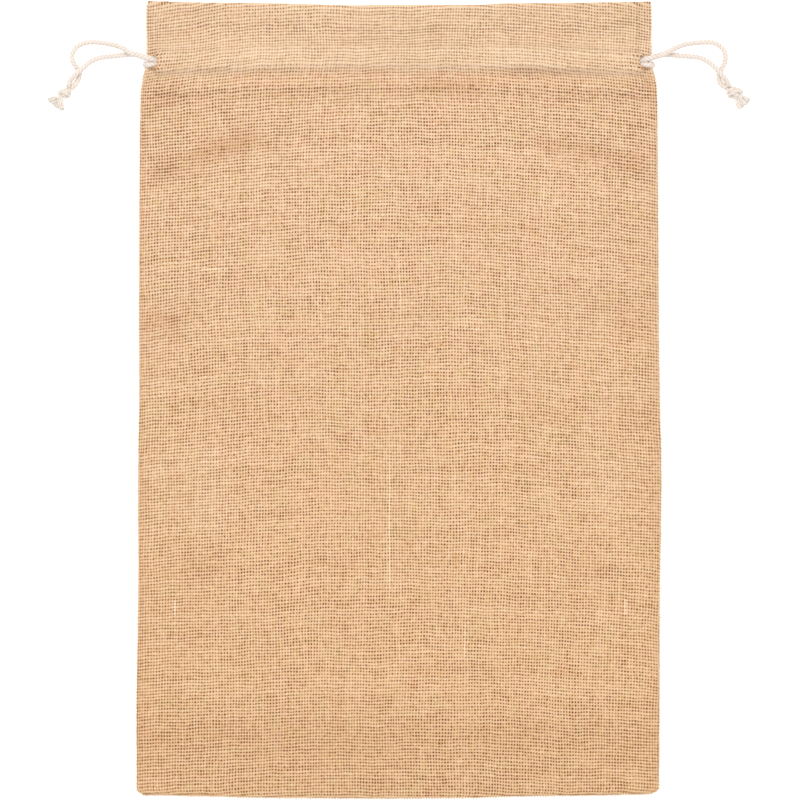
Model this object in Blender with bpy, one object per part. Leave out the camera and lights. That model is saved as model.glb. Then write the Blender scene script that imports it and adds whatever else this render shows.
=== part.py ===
"""A drawstring sack of natural burlap, empty, lying on its back with its mouth towards +Y.

Metres, +Z up, the floor at z = 0 and the origin under the middle of the cloth. A front and a back
panel meet at the sides and the bottom. Each panel's top is turned down inside as a deep hem: a
heading, and below it a casing. Two cotton drawcords run through both casings. One leaves at the
left and goes round the right edge, the other is its opposite. The two ends of each are knotted
together and frayed. Places along the length, called stations, are taken before the edges' small
waves shift them, and places across are shares of the half width, from -1 to 1.
"""

import math
from collections import namedtuple

import bmesh
import bpy
from mathutils import Vector

MM = 0.001

# Cloth and cord
CLOTH = 1.2 * MM  # thickness of the burlap
GAP = 0.3 * MM  # air between two layers, and between pieces that touch
LAYER = CLOTH + GAP  # from one layer of cloth to the next
CORD = 2.7 * MM  # diameter of the drawcord
CORD_REST = 0.5 * MM  # air under a cord in its channel
CORD_ROOM = CORD + 0.8 * MM  # height of the casing's channel over its flat hem

# The sack
TOP = 232.0 * MM
BOTTOM = -232.5 * MM
CORNER = 4.5 * MM  # radius of the two bottom corners
HEM_END = 186.0 * MM  # the turned-in edge, below the casing
CORD_LINE = 197.5 * MM  # between the two cords, at the slits
CORD_ARCH = 3.5 * MM  # the cords lie this much higher in the middle
CORD_APART = 1.5 * MM  # each cord from the line between them
CROSSING_LIFT = 2 * CORD_APART + 0.25 * MM  # one cord rises this much to pass over the other
CROSSING_ROOM = CROSSING_LIFT + 0.15 * MM  # more height of the channel there
CHANNEL_FLAT = 3.9 * MM  # half the channel's full-height width, and half the slit
CHANNEL_FOOT = 8.5 * MM  # where its slopes end
FLOOR_GAP = 0.1 * MM  # cords and knots clear the floor by this
MOUTH_REST = 0.5 * MM  # more air between the two hems where they meet

# Shares of the half width
HEM_SIDE = 0.905  # the hem's ends
SLIT_IN = 0.933
SLIT_OUT = 0.960
CORD_JOINT = 0.840  # where a drawcord's free end begins, out of sight in the casing
FRONT_CROSSING = 0.620  # the two cords change places once in each casing
BACK_CROSSING = -0.620
CROSSING_HALF = 0.100
BUMP_FLAT = 0.120
BUMP_FOOT = 0.250

# Side margin outside the slits, which the cords pass over and under
STRIP_LIFT = CORD + 1.2 * MM
STRIP_FOOT = 16.0 * MM
NOTCH = 2.6 * MM  # how far the cord round the edge pulls it in
NOTCH_WIDTH = 2.5 * MM
TURN_RADIUS = 3.15 * MM

Section = namedtuple("Section", "y left right")
OUTLINE = (  # the two side edges, mm
    Section(-232.5, -153.0, 152.4),
    Section(-175.0, -153.1, 152.8),
    Section(-117.0, -152.1, 152.9),
    Section(-60.0, -152.1, 153.8),
    Section(-29.0, -152.0, 153.7),
    Section(0.0, -151.5, 152.9),
    Section(59.0, -151.6, 152.3),
    Section(117.0, -151.4, 151.9),
    Section(175.0, -150.8, 151.4),
    Section(186.0, -149.9, 150.7),
    Section(193.0, -148.4, 149.1),
    Section(202.0, -147.1, 148.0),
    Section(232.0, -146.7, 148.0),
)

Crown = namedtuple("Crown", "y rise")
CROWN = (  # how far the front panel stands off the back one along the middle, mm
    Crown(-232.5, 0.0),
    Crown(-225.0, 2.0),
    Crown(-212.0, 4.6),
    Crown(-190.0, 7.6),
    Crown(-160.0, 9.6),
    Crown(-100.0, 10.2),
    Crown(0.0, 10.0),
    Crown(100.0, 10.2),
    Crown(186.0, 10.1),
    Crown(232.0, 10.1),
)
CROWN_POWER = 4.0

Edge = namedtuple("Edge", "x shift")
TOP_EDGE = (  # shift of the top edge along y, mm
    Edge(-147.0, -0.3),
    Edge(-115.0, -0.4),
    Edge(-87.0, -0.6),
    Edge(-57.0, -1.2),
    Edge(-28.0, -2.0),
    Edge(-10.0, -1.8),
    Edge(45.0, -1.8),
    Edge(60.0, -1.0),
    Edge(88.0, -0.6),
    Edge(142.0, 0.0),
    Edge(148.0, -0.3),
)
BOTTOM_EDGE = (  # shift of the bottom edge along y, mm
    Edge(-148.0, 1.9),
    Edge(-115.0, 1.4),
    Edge(-86.0, 0.6),
    Edge(-57.0, 0.3),
    Edge(-13.0, 0.0),
    Edge(45.0, 0.4),
    Edge(60.0, 1.0),
    Edge(89.0, 1.5),
    Edge(118.0, 1.8),
    Edge(148.0, 2.6),
)
TOP_FADE = 24.0 * MM  # the two shifts die out over these lengths
BOTTOM_FADE = 70.0 * MM

Fold = namedtuple("Fold", "name x1 y1 x2 y2 width height")
FOLDS = (  # soft ridges (+) and troughs (-) of the front panel, from end to end, mm
    Fold("left shoulder trough", -141, 134, -80, 152, 13, -1.5),
    Fold("left shoulder ridge", -135, 116, -62, 139, 16, 0.9),
    Fold("right shoulder trough", 141, 134, 80, 152, 13, -1.5),
    Fold("right shoulder ridge", 135, 116, 64, 140, 16, 0.9),
    Fold("left neck dent", -146, 174, -118, 171, 11, -1.3),
    Fold("right neck dent", 146, 174, 120, 171, 11, -1.3),
    Fold("left waist dent", -148, 50, -112, 44, 18, -1.2),
    Fold("right waist dent", 149, 46, 116, 52, 18, -1.2),
    Fold("left hip dent", -149, -10, -122, -2, 15, -0.9),
    Fold("right hip dent", 150, -62, 112, -54, 20, -1.0),
    Fold("under the casing", -100, 178, 104, 178, 8, -0.7),
    Fold("left low ridge", -122, -46, -108, -72, 20, 0.8),
    Fold("low belly ridge", -96, -168, 88, -176, 20, 0.7),
    Fold("foot trough", -120, -203, 118, -200, 12, -0.7),
)
FOLD_TOP = 10.0 * MM  # the folds die out over these lengths below the hem and above the foot
FOLD_FOOT = 25.0 * MM
FOLD_SIDE = 4.0  # and this steeply towards the side edges
HEM_RUN_IN = 10.0 * MM  # the layers part this far below the hem's edge, and over this length
HEM_SPREAD = 8.0 * MM
CROWN_BLEND = 0.4 * MM  # rounding where the crown leaves the back panel

# Rows of the cloth's grid
FOOT_ROWS = (0.0, 1.7, 4.5, 10.0, 20.0, 34.0)  # from the bottom edge, mm
CASING_ROWS = (-11.5, -8.5, -6.2, -3.9, -1.3, 1.3, 3.9, 6.2, 8.5, 12.0, 18.0, 26.0)  # from CORD_LINE
BODY_TOP = 178.0 * MM
FRONT_STEPS = 18  # rows of the body between the foot and the casing
BACK_STEPS = 9
MIDDLE_STEPS = 12  # columns between the outermost even ones
MIDDLE_SHARE = 0.80
SIDE_SHARES = (0.87, HEM_SIDE, SLIT_IN, SLIT_OUT, 0.977, 1.0)
FOLD_STEPS = 4  # round the top edge

Point = namedtuple("Point", "x y z")
LEFT_FRONT_END = (  # out of the front slit, over the side margin, down to the floor and round a loop
    Point(-123.9, 199.5, 10.7),
    Point(-128.6, 199.3, 10.15),
    Point(-133.2, 199.0, 10.1),
    Point(-136.4, 198.9, 10.05),
    Point(-139.0, 198.9, 9.35),
    Point(-141.6, 199.0, 8.6),
    Point(-144.8, 199.5, 8.35),
    Point(-148.6, 200.6, 8.1),
    Point(-152.4, 201.9, 7.0),
    Point(-155.4, 202.7, 6.1),
    Point(-158.3, 204.3, 5.1),
    Point(-161.2, 206.0, 4.1),
    Point(-165.6, 207.7, 2.6),
    Point(-171.6, 208.9, 1.6),
    Point(-178.2, 209.5, 1.45),
    Point(-182.8, 209.1, 1.45),
    Point(-186.6, 207.5, 1.45),
    Point(-189.4, 204.8, 1.45),
    Point(-190.6, 201.6, 1.45),
    Point(-190.2, 198.5, 1.45),
    Point(-188.6, 195.6, 1.45),
    Point(-186.7, 193.0, 1.45),
    Point(-186.2, 190.4, 1.45),
    Point(-186.9, 187.5, 1.45),
    Point(-188.5, 184.6, 1.75),
    Point(-190.75, 181.75, 2.3),
)
LEFT_BACK_END = (  # out from under the back, along the floor and over the first one
    Point(-123.9, 199.5, 3.05),
    Point(-129.0, 199.3, 3.05),
    Point(-134.4, 199.0, 3.05),
    Point(-137.4, 198.9, 2.9),
    Point(-140.6, 198.95, 2.05),
    Point(-144.6, 199.6, 1.6),
    Point(-148.4, 200.7, 1.5),
    Point(-152.4, 201.8, 1.45),
    Point(-156.0, 202.3, 1.45),
    Point(-161.1, 201.8, 1.45),
    Point(-167.0, 201.2, 1.45),
    Point(-172.8, 200.6, 1.5),
    Point(-177.2, 199.3, 2.0),
    Point(-181.0, 197.0, 3.1),
    Point(-184.2, 194.1, 4.4),
    Point(-187.2, 191.5, 4.6),
    Point(-190.0, 189.0, 3.6),
    Point(-191.9, 186.4, 2.8),
    Point(-192.95, 183.6, 2.6),
)
RIGHT_FRONT_END = (
    Point(124.7, 199.5, 10.2),
    Point(129.3, 199.3, 10.1),
    Point(134.0, 199.0, 10.1),
    Point(137.2, 198.9, 10.05),
    Point(139.8, 198.9, 9.35),
    Point(142.4, 199.0, 8.6),
    Point(145.6, 199.4, 8.35),
    Point(149.6, 200.5, 8.1),
    Point(153.7, 201.8, 7.0),
    Point(157.3, 203.2, 5.9),
    Point(160.7, 205.2, 4.7),
    Point(163.8, 206.7, 3.7),
    Point(168.2, 208.2, 2.4),
    Point(173.6, 209.0, 1.6),
    Point(179.2, 209.4, 1.45),
    Point(184.2, 209.2, 1.45),
    Point(188.2, 207.3, 1.45),
    Point(190.9, 204.2, 1.45),
    Point(191.6, 200.6, 1.45),
    Point(190.9, 197.0, 1.45),
    Point(189.3, 194.0, 1.45),
    Point(187.9, 191.2, 1.45),
    Point(187.5, 188.2, 1.45),
    Point(189.0, 184.8, 1.75),
    Point(191.9, 182.4, 2.2),
)
RIGHT_BACK_END = (
    Point(124.7, 199.5, 3.05),
    Point(129.8, 199.3, 3.05),
    Point(135.2, 199.0, 3.05),
    Point(138.2, 198.9, 2.95),
    Point(141.4, 198.95, 2.05),
    Point(145.4, 199.4, 1.6),
    Point(149.6, 200.6, 1.5),
    Point(153.7, 201.7, 1.45),
    Point(157.3, 202.2, 1.45),
    Point(161.6, 201.8, 1.45),
    Point(167.0, 201.3, 1.45),
    Point(172.8, 200.9, 1.5),
    Point(177.4, 200.0, 1.9),
    Point(181.2, 198.0, 2.9),
    Point(184.4, 195.4, 4.2),
    Point(187.3, 192.4, 4.6),
    Point(189.9, 189.6, 4.4),
    Point(192.0, 186.9, 3.2),
    Point(194.05, 184.15, 2.6),
)
END_STEP = 1.8 * CORD  # between two points of a free end's curve

# The knots: each is a lobed head, with the frayed ends of the cord fanned out on the floor in front
Tip = namedtuple("Tip", "bearing length")
Knot = namedtuple("Knot", "name x y heading half_length half_width half_height fan_x fan_y tips")
KNOTS = (  # mm and degrees. The tips of the frayed locks are given from the fan's own middle
    Knot(
        "left_knot",
        -195.0,
        179.3,
        219,
        4.4,
        2.9,
        2.5,
        -197.1,
        177.0,
        (Tip(281, 7.2), Tip(266, 7.4), Tip(246, 6.7), Tip(226, 6.2), Tip(206, 6.3), Tip(187, 6.7)),
    ),
    Knot(
        "right_knot",
        196.6,
        179.6,
        322,
        4.9,
        3.0,
        2.5,
        198.9,
        177.0,
        (Tip(-10, 7.1), Tip(-29, 6.7), Tip(-48, 6.6), Tip(-66, 7.0), Tip(-83, 7.2), Tip(-106, 6.2)),
    ),
)
KNOT_AROUND = 12
KNOT_ALONG = 8
KNOT_RIDGES = 2
KNOT_RIDGE = 0.11  # height of the wraps, as a share of the head's radius
KNOT_LEAN = 3.0  # how far the wraps turn round the head along its half length, radians
FAN_BEHIND = 3.2 * MM  # the locks spread from a point this far behind the fan's middle, in the head
Backing = namedtuple("Backing", "reach middle half")  # how far from that point, height, half thickness
FAN_START = Backing(1.8 * MM, 1.7 * MM, 0.9 * MM)  # where the locks' common backing starts
FAN_SPLIT = Backing(4.4 * MM, 1.15 * MM, 0.6 * MM)  # where it parts into the locks
LOCK_STEPS = 3
LOCK_WIDE = 1.35 * MM  # a frayed lock's width and height at its tip
LOCK_HIGH = 0.6 * MM
LOCK_DROP = 1.3  # a lock is down on the floor this much before its tip
ROUTE_FINE = 12  # points read between two of a route's own
RUN_STEPS = 31  # along one casing
TURN_STEPS = 8  # round the side edge
CASING_END = 0.004  # a run leaves the casing this share before the slit
TURN_UP = 0.35 * MM  # its front leg stands this much higher where the turn begins
TURN_DOWN = 0.2 * MM

BURLAP_COLOUR = (0.66, 0.43, 0.24)
BURLAP_ROUGHNESS = 0.95
COTTON_COLOUR = (0.86, 0.79, 0.68)
COTTON_ROUGHNESS = 0.9


def ease(t):
    """0 up to t = 0, 1 from t = 1, smooth between."""
    t = min(1.0, max(0.0, t))
    return t * t * (3 - 2 * t)


def read(table, at, column):
    """A column's value at a place along the table, on a smooth curve through its rows, in metres."""
    rows = [(row[0] * MM, getattr(row, column) * MM) for row in table]
    at = min(rows[-1][0], max(rows[0][0], at))
    i = next(k for k in range(len(rows) - 1) if at <= rows[k + 1][0])

    def slope(k):
        before, after = rows[max(0, k - 1)], rows[min(len(rows) - 1, k + 1)]
        return (after[1] - before[1]) / (after[0] - before[0])

    (x0, v0), (x1, v1) = rows[i], rows[i + 1]
    span = x1 - x0
    t = (at - x0) / span
    start, end = slope(i) * span, slope(i + 1) * span
    return (
        (2 * t**3 - 3 * t**2 + 1) * v0
        + (t**3 - 2 * t**2 + t) * start
        + (3 * t**2 - 2 * t**3) * v1
        + (t**3 - t**2) * end
    )


def across(share, y):
    """x of a share of the half width at a station."""
    left, right = read(OUTLINE, y, "left"), read(OUTLINE, y, "right")
    up = max(0.0, CORNER - (y - BOTTOM))
    corner = CORNER - math.sqrt(CORNER**2 - up**2)
    notch = NOTCH * math.exp(-(((y - CORD_LINE + CORD_APART) / NOTCH_WIDTH) ** 2))
    notch *= ease((abs(share) - SLIT_OUT) / (1 - SLIT_OUT))
    half = (right - left) / 2 - corner
    return (left + right) / 2 + share * half - math.copysign(notch, share)


def along(share, y):
    """y of a station, with the waves of the two ends and the arch of the cords."""
    x = across(share, y)
    arch = CORD_ARCH * (1 - min(1.0, abs(share) / HEM_SIDE) ** 2)
    arch *= ease((y - HEM_END) / (CORD_LINE - CHANNEL_FLAT - HEM_END)) * ease(
        (TOP - y) / (TOP - CORD_LINE - CHANNEL_FLAT)
    )
    top = read(TOP_EDGE, x, "shift") * ease(1 - (TOP - y) / TOP_FADE)
    bottom = read(BOTTOM_EDGE, x, "shift") * ease(1 - (y - BOTTOM) / BOTTOM_FADE)
    return y + arch + top + bottom


def channel(y):
    """1 over the cords, 0 beside the channel."""
    return ease((CHANNEL_FOOT - abs(y - CORD_LINE)) / (CHANNEL_FOOT - CHANNEL_FLAT))


def bump(share, crossing):
    """1 where the two cords lie on each other."""
    return ease((BUMP_FOOT - abs(share - crossing)) / (BUMP_FOOT - BUMP_FLAT))


def strip_lift(share, y):
    """How far the side margin is lifted by the cords under it."""
    side = ease((abs(share) - SLIT_IN) / (SLIT_OUT - SLIT_IN))
    return STRIP_LIFT * side * ease((STRIP_FOOT - abs(y - CORD_LINE)) / (STRIP_FOOT - CHANNEL_FLAT))


def hem_rise(share, y, crossing):
    """From an outer layer to its hem, over the cords between them."""
    return LAYER + channel(y) * (CORD_ROOM + CROSSING_ROOM * bump(share, crossing))


def inner(share):
    """1 as far as the slits' inner lips, 0 from their outer lips."""
    return ease((SLIT_OUT - abs(share)) / (SLIT_OUT - SLIT_IN))


def in_hem(y):
    """1 where the hem lies under the outer layer, 0 below it."""
    return ease((y - HEM_END + HEM_RUN_IN) / HEM_SPREAD)


def folds(x, y):
    """Height of the front panel's soft folds."""
    total = 0.0
    for fold in FOLDS:
        start = Vector((fold.x1, fold.y1)) * MM
        end = Vector((fold.x2, fold.y2)) * MM
        place, axis = Vector((x, y)) - start, end - start
        t = min(1.0, max(0.0, place.dot(axis) / axis.length_squared))
        away = (place - axis * t).length / (fold.width * MM)
        total += fold.height * MM * math.exp(-(away**2))
    return total


def back_top(share, y):
    """Top of the back panel's highest layer."""
    return CLOTH + strip_lift(share, y) + hem_rise(share, y, BACK_CROSSING) * inner(share) * in_hem(y)


def front_under(share, y):
    """Underside of the front panel's lowest layer: its crown, where that clears the back panel."""
    side = 1 - abs(share) ** CROWN_POWER
    crown = LAYER + read(CROWN, y, "rise") * side
    x = across(share, y)
    calm = ease((HEM_END - y) / FOLD_TOP) * ease((y - BOTTOM) / FOLD_FOOT)
    crown += folds(x, y) * calm * min(1.0, side * FOLD_SIDE)
    least = back_top(share, y) + GAP + MOUTH_REST * inner(share) * in_hem(y)
    return least + (math.sqrt((crown - least) ** 2 + CROWN_BLEND**2) + crown - least) / 2


def back_outer(share, y):
    return CLOTH / 2 + strip_lift(share, y)


def back_hem(share, y):
    return back_outer(share, y) + hem_rise(share, y, BACK_CROSSING)


def front_hem(share, y):
    return front_under(share, y) + CLOTH / 2


def front_outer(share, y):
    rise = hem_rise(share, y, FRONT_CROSSING)
    return front_hem(share, y) + rise * inner(share) * in_hem(y)


def columns():
    """The shares at which the cloth's grid has its columns."""
    middle = [MIDDLE_SHARE * (2 * k / MIDDLE_STEPS - 1) for k in range(MIDDLE_STEPS + 1)]
    return [-share for share in reversed(SIDE_SHARES)] + middle + list(SIDE_SHARES)


def as_built(height, share, y):
    """A height on the cloth's flat facets, between two of its columns."""
    shares = columns()
    k = next(k for k in range(len(shares) - 1) if share <= shares[k + 1])
    t = (share - shares[k]) / (shares[k + 1] - shares[k])
    return height(shares[k], y) * (1 - t) + height(shares[k + 1], y) * t


def material(name, colour, roughness):
    made = bpy.data.materials.new(name)
    made.use_nodes = True
    shader = made.node_tree.nodes["Principled BSDF"]
    shader.inputs["Base Color"].default_value = (*colour, 1)
    shader.inputs["Roughness"].default_value = roughness
    made.diffuse_color = (*colour, 1)
    return made


def add_object(name, data, finish):
    made = bpy.data.objects.new(name, data)
    data.materials.append(finish)
    bpy.context.scene.collection.objects.link(made)
    return made


def body_rows(steps):
    """Stations from the bottom edge to the top of the outer layer."""
    rows = [BOTTOM + row * MM for row in FOOT_ROWS]
    first = rows[-1]
    rows += [first + (BODY_TOP - first) * k / steps for k in range(1, steps + 1)]
    rows += [CORD_LINE + row * MM for row in CASING_ROWS]
    return rows + [TOP - LAYER / 2]


def panel(name, outer, hem, steps):
    """A panel with its turned-in hem: one sheet, folded over at the top, slit beside each edge."""
    up = body_rows(steps)
    down = [y for y in reversed(up) if y >= HEM_END]
    shares = columns()
    turns = [math.pi * k / FOLD_STEPS for k in range(1, FOLD_STEPS)]
    rows = [(y, 0.0) for y in up] + [(up[-1], turn) for turn in turns] + [(y, math.pi) for y in down]

    bm = bmesh.new()
    bmesh.ops.create_grid(bm, x_segments=len(shares) - 1, y_segments=len(rows) - 1, size=1)
    for vert in bm.verts:
        column = round((vert.co.x + 1) / 2 * (len(shares) - 1))
        row = round((vert.co.y + 1) / 2 * (len(rows) - 1))
        share, (y, turn) = shares[column], rows[row]
        low, high = outer(share, y), hem(share, y)
        past_fold = row == len(up) - 1 and abs(share) > HEM_SIDE
        reach = LAYER / 2 * (1 if past_fold else math.sin(turn))
        lift = low + (high - low) * (1 - math.cos(turn)) / 2
        vert.co = (across(share, y), along(share, y) + reach, lift)
        vert.index = row * len(shares) + column

    def unwanted(face):
        spots = [divmod(vert.index, len(shares)) for vert in face.verts]
        low = min(row for row, column in spots)
        side = max(abs(shares[column]) for row, column in spots)
        near = min(abs(shares[column]) for row, column in spots)
        off_line = max(abs(rows[row][0] - CORD_LINE) for row, column in spots)
        past_hem = low >= len(up) - 1 and side > HEM_SIDE
        in_slit = low < len(up) - 1 and near >= SLIT_IN and side <= SLIT_OUT
        return past_hem or (in_slit and off_line <= CHANNEL_FLAT + GAP / 2)

    bmesh.ops.delete(bm, geom=[face for face in bm.faces if unwanted(face)], context="FACES")
    bmesh.ops.recalc_face_normals(bm, faces=bm.faces)
    mesh = bpy.data.meshes.new(name)
    bm.to_mesh(mesh)
    bm.free()
    mesh.shade_smooth()
    made = add_object(name, mesh, burlap)
    solid = made.modifiers.new("thickness", "SOLIDIFY")
    solid.thickness = CLOTH
    solid.offset = 0
    solid.use_even_offset = True
    return made


def smooth_route(route, spacing):
    """Points about evenly apart on a smooth curve through a route's own points."""
    own = [Vector(point) for point in route]
    own = [own[0] * 2 - own[1]] + own + [own[-1] * 2 - own[-2]]
    fine = []
    for before, start, end, after in zip(own, own[1:], own[2:], own[3:]):
        for k in range(ROUTE_FINE):
            t = k / ROUTE_FINE
            fine.append(
                start
                + (end - before) * t / 2
                + (before * 2 - start * 5 + end * 4 - after) * t**2 / 2
                + (start * 3 - before - end * 3 + after) * t**3 / 2
            )
    fine.append(own[-2])
    reach = [0.0]
    for start, end in zip(fine, fine[1:]):
        reach.append(reach[-1] + (end - start).length)
    count = max(2, round(reach[-1] / spacing))
    points, k = [], 0
    for step in range(count + 1):
        target = reach[-1] * step / count
        while k < len(fine) - 2 and reach[k + 1] < target:
            k += 1
        t = (target - reach[k]) / (reach[k + 1] - reach[k])
        points.append(fine[k].lerp(fine[k + 1], t))
    return points


def cord(name, points):
    """A round cord along its points, as a curve with a bevel and closed ends."""
    curve = bpy.data.curves.new(name, "CURVE")
    curve.dimensions = "3D"
    curve.bevel_depth = CORD / 2
    curve.bevel_resolution = 2
    curve.use_fill_caps = True
    spline = curve.splines.new("POLY")
    spline.points.add(len(points) - 1)
    for spot, point in zip(spline.points, points):
        spot.co = (*point, 1)
    return add_object(name, curve, cotton)


def free_end(name, route):
    points = [Vector(point) * MM for point in route]
    return cord(name, smooth_route(points, END_STEP))


def lane(share, crossing, swap):
    """A cord's offsets (across the channel, up) at a share, where it changes places at a crossing.

    swap is 1 for the cord that starts on the upper lane at the left and passes over the other one,
    and -1 for the other, which stays down.
    """
    turn = math.pi * min(1.0, max(0.0, (share - crossing + CROSSING_HALF) / (2 * CROSSING_HALF)))
    over = CROSSING_LIFT * math.sin(turn) if swap > 0 else 0.0
    return swap * CORD_APART * math.cos(turn), over


def channel_points(under, crossing, swap, shares):
    """A cord's centre line in a channel whose lower cloth's top is at under(share, y)."""
    points = []
    for share in shares:
        side, over = lane(share, crossing, swap)
        y = CORD_LINE + side
        height = as_built(under, share, y) + CORD_REST + CORD / 2 + over
        points.append(Vector((across(share, y), along(share, y), height)))
    return points


def front_floor(share, y):
    return front_under(share, y) + CLOTH


def back_floor(share, y):
    return CLOTH


def held_run(name, swap, side):
    """The stretch of a drawcord inside the casings, round the far side edge.

    side is 1 for the cord whose free ends are at the left, which goes round the right edge.
    """
    last = SLIT_IN - CASING_END
    reach = CORD_JOINT + last
    shares = [side * (reach * k / RUN_STEPS - CORD_JOINT) for k in range(RUN_STEPS + 1)]
    front = channel_points(front_floor, FRONT_CROSSING, swap, shares)
    back = channel_points(back_floor, BACK_CROSSING, swap, shares)
    start_gap = Vector((side * GAP, 0, 0))
    front[0] += start_gap
    back[0] += start_gap
    y = CORD_LINE - CORD_APART
    edge = across(side, y)
    middle = CLOTH + GAP / 2 + STRIP_LIFT
    bend = across(side * SLIT_OUT, y)
    turn = [Vector((bend, y, middle + TURN_RADIUS + TURN_UP))]
    for k in range(TURN_STEPS + 1):
        angle = math.pi / 2 - math.pi * k / TURN_STEPS
        turn.append(
            Vector(
                (
                    edge + side * TURN_RADIUS * math.cos(angle),
                    y,
                    middle + TURN_RADIUS * math.sin(angle),
                )
            )
        )
    turn.append(Vector((bend, y, middle - TURN_RADIUS + TURN_DOWN)))
    return cord(name, front + turn + back[::-1])


def towards(bearing):
    """The flat direction of a bearing in degrees, counted from +X to +Y."""
    return Vector((math.cos(math.radians(bearing)), math.sin(math.radians(bearing)), 0))


def fan(spec):
    """The frayed locks of one knot, parting in front of a common backing that starts inside its head."""
    middle = Vector((spec.fan_x, spec.fan_y, 0)) * MM
    tips = [middle + towards(tip.bearing) * tip.length * MM for tip in spec.tips]
    source = middle - towards(spec.heading) * FAN_BEHIND
    rays = [(tip - source).normalized() for tip in tips]
    rims = [(first + second).normalized() for first, second in zip(rays, rays[1:])]
    rims = [(rays[0] * 2 - rims[0]).normalized()] + rims + [(rays[-1] * 2 - rims[-1]).normalized()]

    bm = bmesh.new()
    bmesh.ops.create_cube(bm, size=2)
    for k in range(1, len(rays)):
        cut = Vector((2 * k / len(rays) - 1, 0, 0))
        bmesh.ops.bisect_plane(
            bm, geom=bm.verts[:] + bm.edges[:] + bm.faces[:], plane_co=cut, plane_no=Vector((1, 0, 0))
        )
    fronts = [face for face in bm.faces if round(face.normal.y) == 1]
    fronts.sort(key=lambda face: face.calc_center_median().x)
    for vert in bm.verts:
        rim = rims[round((vert.co.x + 1) / 2 * len(rays))]
        rim_at = FAN_SPLIT if vert.co.y > 0 else FAN_START
        height = rim_at.middle + rim_at.half * vert.co.z
        vert.co = source + rim * rim_at.reach + Vector((0, 0, height))
    for face, tip, ray in zip(fronts, tips, rays):
        beside = Vector((-ray.y, ray.x, 0))
        root = face.calc_center_median()
        end = tip + Vector((0, 0, LOCK_HIGH / 2 + FLOOR_GAP))
        start = [vert.co - root for vert in face.verts]
        flat = []
        for offset in start:
            upwards = Vector((0, 0, math.copysign(LOCK_HIGH / 2, offset.z)))
            flat.append(beside * math.copysign(LOCK_WIDE / 2, offset.dot(beside)) + upwards)
        for step in range(1, LOCK_STEPS + 1):
            t = step / LOCK_STEPS
            face = bmesh.ops.extrude_discrete_faces(bm, faces=[face])["faces"][0]
            place = root.lerp(end, t)
            place.z = root.z + (end.z - root.z) * ease(min(1.0, t * LOCK_DROP))
            for vert, first, last in zip(face.verts, start, flat):
                vert.co = place + first.lerp(last, t)
    bmesh.ops.recalc_face_normals(bm, faces=bm.faces)
    mesh = bpy.data.meshes.new(spec.name + "_fan")
    bm.to_mesh(mesh)
    bm.free()
    made = add_object(spec.name + "_fan", mesh, cotton)
    made.hide_render = True
    made.display_type = "WIRE"
    return made


def knot(spec):
    """The head of a knot, joined to its fan of frayed locks."""
    bm = bmesh.new()
    bmesh.ops.create_uvsphere(bm, u_segments=KNOT_AROUND, v_segments=KNOT_ALONG, radius=1)
    ahead = towards(spec.heading)
    beside = Vector((-ahead.y, ahead.x, 0))
    centre = Vector((spec.x * MM, spec.y * MM, spec.half_height * MM * (1 + KNOT_RIDGE) + FLOOR_GAP))
    for vert in bm.verts:
        x, y, z = vert.co
        ridge = 1 + KNOT_RIDGE * math.cos(KNOT_RIDGES * math.atan2(y, x) + KNOT_LEAN * z) * (1 - z * z)
        vert.co = (
            centre
            + ahead * z * spec.half_length * MM
            - beside * y * spec.half_width * ridge * MM
            + Vector((0, 0, x * spec.half_height * ridge * MM))
        )
    mesh = bpy.data.meshes.new(spec.name)
    bm.to_mesh(mesh)
    bm.free()
    made = add_object(spec.name, mesh, cotton)
    joined = made.modifiers.new("fan", "BOOLEAN")
    joined.operation = "UNION"
    joined.object = fan(spec)
    return made


for existing in list(bpy.data.objects):
    bpy.data.objects.remove(existing, do_unlink=True)

burlap = material("burlap", BURLAP_COLOUR, BURLAP_ROUGHNESS)
cotton = material("cotton cord", COTTON_COLOUR, COTTON_ROUGHNESS)

panel("back_panel", back_outer, back_hem, BACK_STEPS)
panel("front_panel", front_outer, front_hem, FRONT_STEPS)
held_run("left_drawcord", 1, 1)
held_run("right_drawcord", -1, -1)
free_end("left_front_end", LEFT_FRONT_END)
free_end("left_back_end", LEFT_BACK_END)
free_end("right_front_end", RIGHT_FRONT_END)
free_end("right_back_end", RIGHT_BACK_END)
for spec in KNOTS:
    knot(spec)
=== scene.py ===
"""A burlap drawstring sack, lying flat with its mouth away from the viewer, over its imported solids.

Metres, +Z up, the floor at z = 0. Tables of a piece's own shape are in millimetres. The sack is put
together in the order that its maker works in: cords, cloth, edges, knots. Places along its length,
called stations, are taken before the small waves of its edges, and places across are shares of the
half width, from -1 at the left to 1 at the right.
"""

import math
import random
from collections import namedtuple

import bmesh
import bpy
from mathutils import Matrix, Vector, noise


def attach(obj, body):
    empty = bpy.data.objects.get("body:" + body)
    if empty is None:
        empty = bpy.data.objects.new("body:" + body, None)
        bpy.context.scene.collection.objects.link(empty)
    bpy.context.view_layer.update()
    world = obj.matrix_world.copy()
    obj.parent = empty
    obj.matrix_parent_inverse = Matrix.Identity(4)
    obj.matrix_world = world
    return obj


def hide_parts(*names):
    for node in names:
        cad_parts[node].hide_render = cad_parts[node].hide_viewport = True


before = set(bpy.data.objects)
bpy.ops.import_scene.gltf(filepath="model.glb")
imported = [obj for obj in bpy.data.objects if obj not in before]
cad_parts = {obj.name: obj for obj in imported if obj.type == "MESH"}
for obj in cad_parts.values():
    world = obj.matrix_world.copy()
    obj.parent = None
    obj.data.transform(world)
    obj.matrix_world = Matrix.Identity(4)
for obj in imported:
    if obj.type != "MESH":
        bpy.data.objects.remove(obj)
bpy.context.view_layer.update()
MM = 0.001


# ---- Table, lamps and camera ----
# The sack lies on a plain white table under two large soft lamps and a pale room. The camera hangs
# straight above its middle and looks down through a long lens, so that nothing leans.

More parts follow.
